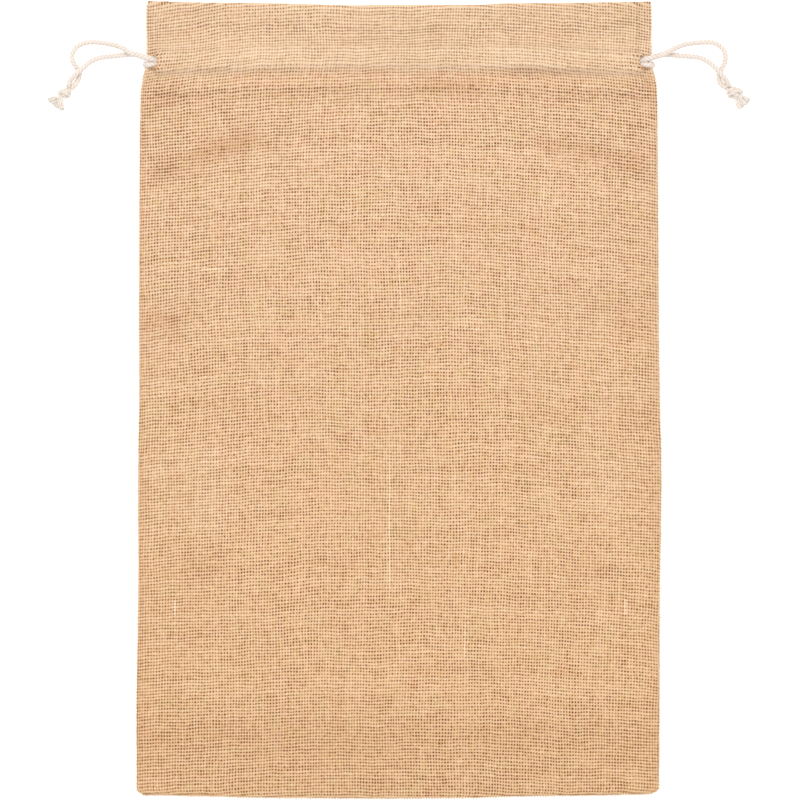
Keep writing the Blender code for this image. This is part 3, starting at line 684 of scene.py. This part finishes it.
WAVES = ((38, 44, 1.7, 0.16), (95, 110, 5.1, 0.096))  # to a metre each way, seed, height in mm


def rise(value, low, high):
    """0 up to low, 1 from high, smooth between. With low above high it falls instead."""
    t = min(1.0, max(0.0, (value - low) / (high - low)))
    return t * t * (3 - 2 * t)


def hump(off):
    """1 at 0, falling away on both sides."""
    return math.exp(-(off**2))


def read(table, at, column):
    """A column's value in metres, on a smooth curve through the table's rows."""
    rows = [(row[0] * MM, getattr(row, column) * MM) for row in table]
    at = min(rows[-1][0], max(rows[0][0], at))
    i = next(k for k in range(len(rows) - 1) if at <= rows[k + 1][0])

    def slope(k):
        before, after = rows[max(0, k - 1)], rows[min(len(rows) - 1, k + 1)]
        return (after[1] - before[1]) / (after[0] - before[0])

    (x0, v0), (x1, v1) = rows[i], rows[i + 1]
    span = x1 - x0
    t = (at - x0) / span
    start, end = slope(i) * span, slope(i + 1) * span
    return (
        (2 * t**3 - 3 * t**2 + 1) * v0
        + (t**3 - 2 * t**2 + t) * start
        + (3 * t**2 - 2 * t**3) * v1
        + (t**3 - t**2) * end
    )


def across(share, y):
    """x of a share of the half width at a station."""
    left, right = read(OUTLINE, y, "left"), read(OUTLINE, y, "right")
    up = max(0.0, CORNER - (y - BOTTOM))
    corner = CORNER - math.sqrt(CORNER**2 - up**2)
    notch = LEFT_NOTCH if share < 0 else RIGHT_NOTCH
    notch *= hump((y - CORD_LINE + CORD_APART) / NOTCH_WIDTH)
    notch *= max(0.0, (abs(share) - SLIT_OUT) / (1 - SLIT_OUT))
    half = (right - left) / 2 - corner
    return (left + right) / 2 + share * half - math.copysign(notch, share)


def along(share, y):
    """y of a station, with the waves of the two ends and the arch of the cords."""
    x = across(share, y)
    arch = CORD_ARCH * (1 - min(1.0, abs(share) / HEM_SIDE) ** 2)
    arch *= rise(y, HEM_END, CORD_LINE - CHANNEL_FLAT) * rise(y, TOP, CORD_LINE + CHANNEL_FLAT)
    top = read(TOP_EDGE, x, "shift") * rise(y, TOP - TOP_FADE, TOP)
    bottom = read(BOTTOM_EDGE, x, "shift") * rise(y, BOTTOM + BOTTOM_FADE, BOTTOM)
    return y + arch + top + bottom


def strip_lift(share, y):
    """How far the side margin is lifted by the cords under it."""
    side = rise(abs(share), SLIT_IN, SLIT_OUT)
    return STRIP_LIFT * side * rise(abs(y - CORD_LINE), STRIP_FOOT, CHANNEL_FLAT)


def hem_rise(share, y, crossing):
    """From an outer layer to its hem, over the cords, which cross on each other."""
    channel = rise(abs(y - CORD_LINE), CHANNEL_FOOT, CHANNEL_FLAT)
    crossed = rise(abs(share - crossing), BUMP_FOOT, BUMP_FLAT)
    return LAYER + channel * (CORD_ROOM + CROSSING_ROOM * crossed)


def between_slits(share):
    """1 as far as the slits' inner lips, 0 from their outer lips."""
    return rise(abs(share), SLIT_OUT, SLIT_IN)


def in_hem(y):
    """1 where the hem lies under the outer layer, 0 below it."""
    return rise(y, HEM_FOOT, HEM_FOOT + HEM_RISE)


def soft_line(line, x, y):
    """1 along a line of a table, fading over its width."""
    start, end = Vector((line.x1, line.y1)) * MM, Vector((line.x2, line.y2)) * MM
    place, axis = Vector((x, y)) - start, end - start
    t = min(1.0, max(0.0, place.dot(axis) / axis.length_squared))
    return hump((place - axis * t).length / (line.width * MM))


def back_top(share, y):
    """Top of the back panel's highest layer."""
    hem = hem_rise(share, y, BACK_CROSSING) * between_slits(share) * in_hem(y)
    return CLOTH + strip_lift(share, y) + hem


def front_under(share, y):
    """Underside of the front panel's lowest layer: its crown, where that clears the back panel."""
    side = 1 - abs(share) ** CROWN_POWER
    crown = LAYER + read(CROWN, y, "rise") * side
    x = across(share, y)
    calm = rise(y, HEM_END, HEM_END - FOLD_TOP) * rise(y, BOTTOM, BOTTOM + FOLD_FOOT)
    calm *= min(1.0, side * FOLD_SIDE)
    crown += sum(fold.height * MM * soft_line(fold, x, y) for fold in FOLDS) * calm
    least = back_top(share, y) + GAP + MOUTH_REST * between_slits(share) * in_hem(y)
    return least + (math.sqrt((crown - least) ** 2 + CROWN_BLEND**2) + crown - least) / 2


def back_outer(share, y):
    return CLOTH / 2 + strip_lift(share, y)


def back_hem(share, y):
    return back_outer(share, y) + hem_rise(share, y, BACK_CROSSING)


def front_hem(share, y):
    return front_under(share, y) + CLOTH / 2


def front_outer(share, y):
    lip = SLIT_IN + (LIP_OUT - SLIT_IN) * rise(abs(y - CORD_LINE), CHANNEL_FLAT + LIP_RUN, CHANNEL_FLAT)
    over = hem_rise(share, y, FRONT_CROSSING) * rise(abs(share), SLIT_OUT, lip) * in_hem(y)
    return front_hem(share, y) + over


def lip_bend(share, y):
    """How far a slit's ends bend outwards, so that the casing's mouth is round."""
    side = rise(abs(share), HEM_SIDE, SLIT_LIP) * min(1.0, (1 - abs(share)) / (1 - SLIT_LIP))
    return LIP_ROUND * side * hump((abs(y - CORD_LINE) - SLIT_HALF) / LIP_SOFT)


def stations(first, last, step):
    """Even places from first to last, about a step apart."""
    count = max(1, round((last - first) / step))
    return [first + (last - first) * k / count for k in range(count + 1)]


def sheet_rows(body_step, casing_step, hem_step):
    """(station, turn) of each of the grid's rows, up the outer layer, over the top, down the hem."""
    top = TOP - LAYER / 2
    marks = (BOTTOM, BOTTOM + CORNER, HEM_FOOT, CORD_LINE - SLIT_HALF, CORD_LINE + SLIT_HALF, top)
    steps = (CORNER_STEP, body_step, casing_step, casing_step, casing_step)
    rows = []
    for low, high, step in zip(marks, marks[1:], steps):
        rows += [(y, 0.0) for y in stations(low, high, step)[:-1]]
    rows += [(top, math.pi * k / TURN_ROWS) for k in range(TURN_ROWS)]
    return rows + [(y, math.pi) for y in reversed(stations(HEM_END, top, hem_step))]


def sheet_shares(middle_step, side_step):
    """The shares of the grid's columns, one on each line that the cloth is cut along."""
    marks = (MIDDLE_END, HEM_SIDE, SLIT_IN, SLIT_LIP, SLIT_OUT, 1.0)
    middle = stations(-MIDDLE_END, MIDDLE_END, middle_step)
    side = []
    for low, high in zip(marks, marks[1:]):
        side += stations(low, high, side_step)[1:]
    return [-share for share in reversed(side)] + middle + side


def yarn_place(share, y, turn):
    """(warp, weft) numbers of the yarns that cross here."""
    arch = WEFT_ARCH_FOOT + (WEFT_ARCH - WEFT_ARCH_FOOT) * (y - BOTTOM) / (TOP - BOTTOM)
    side = min(1.0, abs(across(share, y) / (across(1.0, y) - WEFT_ARCH_IN)))
    line = along(share, y) - BOTTOM - arch * (1 - side**WEFT_ARCH_POWER)
    line += CLOSER * min(CLOSE_RUN, max(0.0, y - CLOSE_FROM))
    from_cord = y - CORD_LINE + CORD_APART
    near_slit = hump((abs(share) - SLIT_LIP) / PULL_SHARE) * hump(from_cord / PULL_REACH)
    line -= PULL * math.tanh(from_cord / PULL_SOFT) * near_slit
    if turn:
        line += LAYER / 2 * turn + (TOP - LAYER / 2 - y) * 2
    return (share + 1) / 2 * WARPS, line / WEFT_PITCH


def unevenness(x, y):
    """How high the cloth's small waves are at a place."""
    return sum(high * MM * noise.noise(Vector((x * p, y * q, seed))) for p, q, seed, high in WAVES)


def openness(share, x, y):
    """How open the squares are at a place, where 1 is the rule."""
    total = 1.0 + sum(mark.tone * soft_line(mark, x, y) for mark in OPEN_PLACES)
    outwards = min(BAND_OUT, (share / BAND_SIDE) ** 2)
    for band in BANDS:
        line = band.middle + (band.side - band.middle) * outwards
        more = band.open_middle + (band.open_side - band.open_middle) * outwards
        total += more * hump((y / MM - line) / band.width)
    return total


def panel(name, outer, hem, rows, shares, waves):
    """A panel with its turned-in hem, one sheet of cloth, with its yarn numbers, its painted light and
    shade and tone, and openness.
    """
    bm = bmesh.new()
    bmesh.ops.create_grid(bm, x_segments=len(shares) - 1, y_segments=len(rows) - 1, size=1)
    yarns = bm.loops.layers.uv.new("threads")
    tone = bm.verts.layers.float.new("tone")
    opened = bm.verts.layers.float.new("open")
    first_turn = next(k for k, (y, turn) in enumerate(rows) if turn)
    where = {}
    for vert in bm.verts:
        column = round((vert.co.x + 1) / 2 * (len(shares) - 1))
        row = round((vert.co.y + 1) / 2 * (len(rows) - 1))
        share, (y, turn) = shares[column], rows[row]
        low, high = outer(share, y), hem(share, y)
        past_fold = row == first_turn - 1 and abs(share) > HEM_SIDE + HAIR
        reach = (LAYER + CLOTH) / 2 if past_fold else LAYER / 2 * math.sin(turn)
        x = across(share, y)
        if not turn:
            x += math.copysign(lip_bend(share, y), share)
        lift = low + (high - low) * (1 - math.cos(turn)) / 2
        inset = EDGE_YARN / (2 if share < 0 else 6) * rise(abs(share), EDGE_FROM, 1.0)
        foot = EDGE_YARN / 6 * rise(y, BOTTOM + EDGE_FOOT, BOTTOM)
        place = along(share, y) + reach + foot
        vert.co = (x - math.copysign(inset, share), place, lift + unevenness(x, place) * waves)
        vert.index = row * len(shares) + column
        where[vert] = yarn_place(share, y, turn)
        # painted light and shade, with a few darker or paler places in the cloth, from the marks
        vert[tone] = sum(mark.tone * soft_line(mark, x, place) for mark in LIGHT_SHADE_AND_TONE_MARKS)
        vert[opened] = openness(share, x, place)

    def unwanted(face):
        """Whether a face is beside the hem or in a slit, where there is no cloth."""
        spots = [divmod(vert.index, len(shares)) for vert in face.verts]
        low = min(row for row, column in spots)
        side = max(abs(shares[column]) for row, column in spots)
        near = min(abs(shares[column]) for row, column in spots)
        off_line = max(abs(rows[row][0] - CORD_LINE) for row, column in spots)
        past_hem = low >= first_turn - 1 and side > HEM_SIDE + HAIR
        in_slit = low < first_turn - 1 and near >= SLIT_LIP - HAIR and side <= SLIT_OUT + HAIR
        return past_hem or (in_slit and off_line <= SLIT_HALF + HAIR)

    bmesh.ops.delete(bm, geom=[face for face in bm.faces if unwanted(face)], context="FACES")
    for face in bm.faces:
        for loop in face.loops:
            loop[yarns].uv = where[loop.vert]
    made = smooth_object(name, bm, burlap)
    solid = made.modifiers.new("thickness", "SOLIDIFY")
    solid.thickness = CLOTH
    solid.offset = 0
    solid.use_even_offset = True
    return made


JUTE_LIGHT = (0.757, 0.566, 0.41, 1)
JUTE_DEEP = (0.46, 0.225, 0.055, 1)
# painted shade: the shadowed inside of the sack, as seen through the open squares
JUTE_HOLE_SHADE = (0.12, 0.032, 0.0, 1)
JUTE_FOOT = (0.99, 0.945, 0.86, 1)
# the colour of painted shade along the side edges and in the darker marks, and of darker places in the
# cloth
JUTE_SHADE_AND_TONE = (0.8, 0.66, 0.56, 1)
# paler streaks of the edge yarns, and the painted light of the lighter marks
JUTE_PALE = (0.87, 0.685, 0.51, 1)
JUTE_HEADING = (0.66, 0.6, 0.52, 1)
JUTE_SLUB = (0.92, 0.78, 0.6, 1)
JUTE_ROSY = (1.0, 0.965, 0.965, 1)
JUTE_GREEN = (0.975, 1.0, 0.95, 1)

# In pitches: half a yarn's width, its wander nearby and over the whole cloth, and how much its
# width and its tone change from yarn to yarn and along one yarn.
Yarn = namedtuple("Yarn", "half near far width_each width_run tone_each tone_run")
WARP = Yarn(0.29, 0.4, 3.0, 0.04, 0.15, 0.06, 0.22)
WEFT = Yarn(0.312, 0.65, 3.5, 0.05, 0.17, 0.07, 0.28)
YARN_SOFT = 0.055  # softness of a yarn's edge
YARN_HIGH = 1.5  # middle of a yarn's height
NEAR, FAR = 0.16, 0.022  # scales of the wander, to a pitch
FIBRES_ACROSS, FIBRES_ALONG = 11.0, 0.9  # streaks of fibre, to a pitch
FIBRE = 0.5
OPEN_UNEVEN = 0.6
HEADING_RUN = 14 * MM
HEADING_WANDER = 0.5  # the heading's yarns wander this much more
HEADING_GREY = 0.08
MEAN_SHADE = 0.68
RIM_SHADE_WIDTH = 0.16  # painted shade round each square's rim, over this much of the yarns
RIM_SHADE = 0.8
HOLE_LEAST, HOLE_UNEVEN = 0.35, 0.9
HUES = 110.0  # rosy and green places to a metre
SIDE_SHADE = 0.17
# how strongly the marks' painted shade and darker tone, and their painted light and paler tone, show
MARK_SHADE_AND_DARK_TONE, MARK_LIGHT_AND_PALE_TONE = 0.55, 0.3

Slub = namedtuple("Slub", "x y half_x half_y tone")
SLUBS = (  # mm. Paler (+) or darker (-) thick places of single yarns
    Slub(-4.9, -73, 0.55, 46, 0.4),
    Slub(39, -140, 0.5, 13, 0.3),
    Slub(-130.3, -121.5, 0.8, 5.5, 0.55),
    Slub(132.8, -120.5, 0.8, 5.5, 0.55),
    Slub(-107, 76.6, 9.5, 0.6, 0.45),
    Slub(32, 39.4, 3.5, 0.6, 0.45),
    Slub(44.5, 41.8, 4, 0.6, 0.4),
    Slub(1.2, 70, 0.45, 29, 0.2),
    Slub(25.3, 32.4, 0.8, 0.8, -1),
)

# A number that is only added within at() keeps one noise apart from the next.
burlap, burlap_shader, spot = new_finish("natural_burlap", 0.92, gloss=0.1)
u, v = spot.mapped("threads")
sack_x, sack_y = spot.xy()
# the marks' painted light and shade, with a few darker or paler places in the cloth
tone = spot.node("Attribute", {"attribute_name": "tone"}, output=2)
opened = spot.node("Attribute", {"attribute_name": "open"}, output=2)
opened = opened + (u.at(v, 20.0).cloudy(0.22) - 0.5) * OPEN_UNEVEN
heading = sack_y.rise(HEM_END, HEM_END + HEADING_RUN)
wander = heading * HEADING_WANDER + 1.0
warp = u + (u.at(v).cloudy(NEAR, 2.0, "2D") - 0.5) * WARP.near
warp = warp + (u.at(v, 50.0).cloudy(FAR) - 0.5) * wander * WARP.far
weft = v + ((u + 300.0).at(v).cloudy(NEAR, 2.0, "2D") - 0.5) * WEFT.near
weft = weft + (u.at(v, 80.0).cloudy(FAR) - 0.5) * wander * WEFT.far
warp_number, weft_number = warp.floor(), weft.floor()
off_warp, off_weft = warp - warp_number - 0.5, weft - weft_number - 0.5
warp_chance, weft_chance = warp_number.at(3.0).random(), weft_number.at(71.0).random()
warp_run = (warp_number * 7.31).at(weft * 0.13).cloudy(dimensions="2D") - 0.5
weft_run = (weft_number * 5.77 + 90.0).at(warp * 0.1).cloudy(dimensions="2D") - 0.5
square = (warp + 0.5).floor().at((weft + 0.5).floor(), 4.0).random()
dense = (1 - opened) * 0.12 - (square - 0.5) * 0.07
warp_half = (warp_chance - 0.5) * WARP.width_each + warp_run * WARP.width_run + dense + WARP.half
weft_half = (weft_chance - 0.5) * WEFT.width_each + weft_run * WEFT.width_run + dense + WEFT.half
warp_here = abs(off_warp).rise(warp_half + YARN_SOFT, warp_half - YARN_SOFT)
weft_here = abs(off_weft).rise(weft_half + YARN_SOFT, weft_half - YARN_SOFT)
parity = (warp_number * math.pi).cos() * (weft_number * math.pi).cos()
warp_lift = parity * (off_weft * math.pi).cos() * 0.5 - (off_warp / warp_half) ** 2 * 0.5
weft_lift = parity * (off_warp * math.pi).cos() * -0.5 - (off_weft / weft_half) ** 2 * 0.5
warp_height = warp_here * (warp_lift + YARN_HIGH)
weft_height = weft_here * (weft_lift + YARN_HIGH)
height = warp_height.larger(weft_height)
on_top = (warp_height - weft_height).rise(-0.15, 0.15)
warp_fibres = (warp * FIBRES_ACROSS).at(weft * FIBRES_ALONG).cloudy(1.0, 3.0, "2D")
weft_fibres = (warp * FIBRES_ALONG + 40.0).at(weft * FIBRES_ACROSS).cloudy(1.0, 3.0, "2D")
fibres = warp_fibres * on_top + weft_fibres * (1 - on_top) - 0.5
crossing = warp_number.at(weft_number, 9.0).random()
warp_tone = (warp_chance - 0.5) * WARP.tone_each + warp_run * WARP.tone_run
weft_tone = (weft_chance - 0.5) * WEFT.tone_each + weft_run * WEFT.tone_run
shade = weft_tone + (warp_tone - weft_tone) * on_top
# painted shade where the yarns lie low, at their sides and where they pass under each other; a random
# tone for each crossing
shade = shade + (height - YARN_HIGH) * 0.22 + (crossing - 0.5) * 0.16
# painted shade on the yarns' edges round each open square
rim_shade = abs(off_warp).rise(warp_half - RIM_SHADE_WIDTH, 0.46) * abs(off_weft).rise(weft_half - RIM_SHADE_WIDTH, 0.46)
colour = (shade + fibres * FIBRE - rim_shade * RIM_SHADE + MEAN_SHADE).between(JUTE_DEEP, JUTE_LIGHT)
for slub in SLUBS:
    reach_x = abs(sack_x - slub.x * MM).rise(slub.half_x * MM, slub.half_x * 0.6 * MM)
    reach_y = abs(sack_y - slub.y * MM).rise(slub.half_y * MM, slub.half_y * 0.6 * MM)
    shown = reach_x * reach_y * (fibres + 0.9) * abs(slub.tone)
    colour = shown.between(colour, JUTE_SLUB if slub.tone > 0 else JUTE_DEEP)
# painted shade in the open squares, where the shadowed inside would show through
hole = (1 - warp_here) * (1 - weft_here)
colour = (hole * opened * (square * HOLE_UNEVEN + HOLE_LEAST)).between(colour, JUTE_HOLE_SHADE)
hue = spot.cloudy(HUES)
colour = colour.tinted(hue.rise(0.5, 0.72), JUTE_ROSY)
colour = colour.tinted(hue.rise(0.5, 0.28), JUTE_GREEN)
colour = colour.tinted(sack_y.rise(TOP - 30 * MM, BOTTOM + 10 * MM), JUTE_FOOT)
# painted shade along the side edges, where the crowned cloth falls away
colour = colour.tinted(abs(sack_x).rise(143 * MM, 152 * MM) * SIDE_SHADE, JUTE_SHADE_AND_TONE)
# painted shade and darker places from the darker marks; painted light and paler places from the lighter
# ones
colour = colour.tinted((tone * -MARK_SHADE_AND_DARK_TONE).rise(0.0, 1.0), JUTE_SHADE_AND_TONE)
colour = (tone * MARK_LIGHT_AND_PALE_TONE).larger(0.0).between(colour, JUTE_PALE)
colour = (heading * HEADING_GREY).between(colour, JUTE_HEADING)
wear(burlap_shader, "Base Color", colour)
wear(burlap_shader, "Normal", (height + fibres * FIBRE).relief(0.4, 0.4 * MM))

FRONT_ROWS = sheet_rows(3 * MM, 0.95 * MM, 1.8 * MM)
BACK_ROWS = sheet_rows(5 * MM, 1.3 * MM, 2.2 * MM)
FRONT_SHARES = sheet_shares(0.0215, 0.0042)
BACK_SHARES = sheet_shares(0.04, 0.006)
Panel = namedtuple("Panel", "name node outer hem rows shares waves")
PANELS = (
    Panel("back_panel_cloth", "back_panel", back_outer, back_hem, BACK_ROWS, BACK_SHARES, 0.0),
    Panel("front_panel_cloth", "front_panel", front_outer, front_hem, FRONT_ROWS, FRONT_SHARES, 1.0),
)
for part in PANELS:
    piece = panel(part.name, part.outer, part.hem, part.rows, part.shares, part.waves)
    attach(piece, "root")
    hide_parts(part.node)


# ---- Side and foot edges ----
# At the sides and the foot the cloth's own yarns turn round from the front to the back. They show
# as a row of small loops, one for each yarn, which makes the outline slightly ragged.

LOOP_STEPS = 6
LOOP_SIDES = 6
LOOP_GROOVE = 0.06
LEFT_INSET = 0.75  # how far a loop's middle lies inside the outline, in yarns
RIGHT_INSET = 0.38
FOOT_INSET = 0.25
LOOP_ROOT = 1.2 * MM  # how far its two ends reach into the cloth
LOOP_OUT = (0.42, 0.62)  # and its middle out of it, in yarns
SIDE_SIZES = (0.95, 1.3)
FOOT_SIZES = (0.9, 1.2)
CORD_CLEAR = 2.4 * MM  # no loops this near to the cord's turn
WEFTS = 243

loop_finish, loop_shader, spot = new_finish("burlap_yarn", 0.92)
lay_u, lay_v = spot.mapped("lay")
streaks = (lay_u * 9.0).at(lay_v * 0.8).cloudy(1.0, 3.0)
patches = spot.cloudy(260.0, 1.0)
loop_colour = (streaks * 0.5 + patches * 0.5 + 0.2).between(JUTE_DEEP, JUTE_PALE)
wear(loop_shader, "Base Color", loop_colour)
wear(loop_shader, "Normal", streaks.relief(0.4, 0.2 * MM))


def half_turn(middle, outwards, up, steps):
    """Points on a half turn from over its middle, round the outside, to under it."""
    angles = [math.pi / 2 - math.pi * k / steps for k in range(steps + 1)]
    return [middle + outwards * math.cos(angle) + up * math.sin(angle) for angle in angles]


def edge_loop(bm, place, outwards, size, reach):
    """One yarn's turn round the edge, from the front panel to the back one."""
    up = Vector((0, 0, LAYER / 2))
    root = place - outwards * LOOP_ROOT
    points = [root + up, *half_turn(place, outwards * reach, up, LOOP_STEPS), root - up]
    laid_cord(bm, points, 1, lambda t: size, plies=2, sides=LOOP_SIDES, groove=LOOP_GROOVE)


def edge_middle(share, y):
    """Middle of the gap between the two panels at an edge."""
    return CLOTH + GAP / 2 + strip_lift(share, y)


chance = random.Random(11)
bm = bmesh.new()
lowest = BOTTOM + CORNER * 0.6
for side in (-1, 1):
    for k in range(WEFTS):
        y = lowest + (TOP - LAYER - lowest) * (k + 0.5) / WEFTS
        size = EDGE_YARN * chance.uniform(*SIDE_SIZES)
        if abs(y - CORD_LINE + CORD_APART) < CORD_CLEAR:
            continue
        near, far = across(side, y - MM), across(side, y + MM)
        outwards = Vector((2 * MM, near - far, 0)).normalized() * side
        inset = side * EDGE_YARN * (LEFT_INSET if side < 0 else RIGHT_INSET)
        place = Vector((across(side, y) - inset, along(side, y), edge_middle(side, y)))
        edge_loop(bm, place, outwards, size, EDGE_YARN * chance.uniform(*LOOP_OUT))
for k in range(WARPS):
    share = (k + 0.5) / WARPS * 2 - 1
    foot = along(share, BOTTOM) + EDGE_YARN * FOOT_INSET
    turn = Vector((across(share, BOTTOM), foot, edge_middle(share, BOTTOM)))
    size = EDGE_YARN * chance.uniform(*FOOT_SIZES)
    edge_loop(bm, turn, Vector((0, -1, 0)), size, EDGE_YARN * chance.uniform(*LOOP_OUT))
piece = smooth_object("edge_yarns", bm, loop_finish)
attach(piece, "root")


# ---- Drawcords in the casings ----
# Each cord runs once through both casings and round one side edge, where it shows as a short
# turn over the margin. In each casing the two cords change places once, one over the other.

RUN_STEP = 0.7
RUN_SHARE = 0.057  # from point to point of its route
RUN_END = SLIT_IN - 0.004
TURN_RADIUS = 3.15 * MM
TURN_OVER = 0.35 * MM  # over the radius where it bends in, within it where it bends out
TURN_UNDER = 0.2 * MM
TURN_STEPS = 8
TURN_SLACK = 0.22
TURN_SHARE = 0.012
RUN_SIDES = 18


def channel_points(under, crossing, swap, shares):
    """A cord's centre line in a channel, on cloth whose top is at under(share, y)."""
    points = []
    for share in shares:
        turn = math.pi * min(1.0, max(0.0, (share - crossing + CROSSING_HALF) / (2 * CROSSING_HALF)))
        over = CROSSING_LIFT * math.sin(turn) if swap > 0 else 0.0
        y = CORD_LINE + swap * CORD_APART * math.cos(turn)
        height = under(share, y) + CORD_REST + CORD / 2 + over
        points.append(Vector((across(share, y), along(share, y), height)))
    return points


def front_floor(share, y):
    return front_under(share, y) + CLOTH


def back_floor(share, y):
    return CLOTH


def held_run(swap, side):
    """The middle line of a drawcord inside the casings, round the far side edge."""
    shares = [side * share for share in stations(-CORD_JOINT, RUN_END, RUN_SHARE)]
    front = channel_points(front_floor, FRONT_CROSSING, swap, shares)
    back = channel_points(back_floor, BACK_CROSSING, swap, shares)
    start_gap = Vector((side * GAP, 0, 0))
    front[0] += start_gap
    back[0] += start_gap
    y = CORD_LINE - CORD_APART
    edge = across(side, y)
    middle = CLOTH + GAP / 2 + STRIP_LIFT
    bend = across(side * SLIT_OUT, y)
    outwards, up = Vector((side * TURN_RADIUS, 0, 0)), Vector((0, 0, TURN_RADIUS))
    turn = [Vector((bend, y, middle + TURN_RADIUS + TURN_OVER))]
    turn += half_turn(Vector((edge, y, middle)), outwards, up, TURN_STEPS)
    turn.append(Vector((bend, y, middle - TURN_RADIUS + TURN_UNDER)))
    return front + turn + back[::-1]


def run_width(t):
    """Thickness of a drawcord, which is slack where it turns round the edge halfway."""
    return CORD * (CORD_PROUD + TURN_SLACK * hump((t - 0.5) / TURN_SHARE))


Run = namedtuple("Run", "name node swap side twist")
RUNS = (
    Run("left_drawcord_run", "left_drawcord", 1, 1, 1),
    Run("right_drawcord_run", "right_drawcord", -1, -1, -1),
)
for run in RUNS:
    route = [point / MM for point in held_run(run.swap, run.side)]
    bm = bmesh.new()
    laid_cord(bm, smooth_route(route, RUN_STEP), run.twist, run_width, sides=RUN_SIDES)
    piece = smooth_object(run.name, bm, cotton)
    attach(piece, "root")
    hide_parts(run.node)
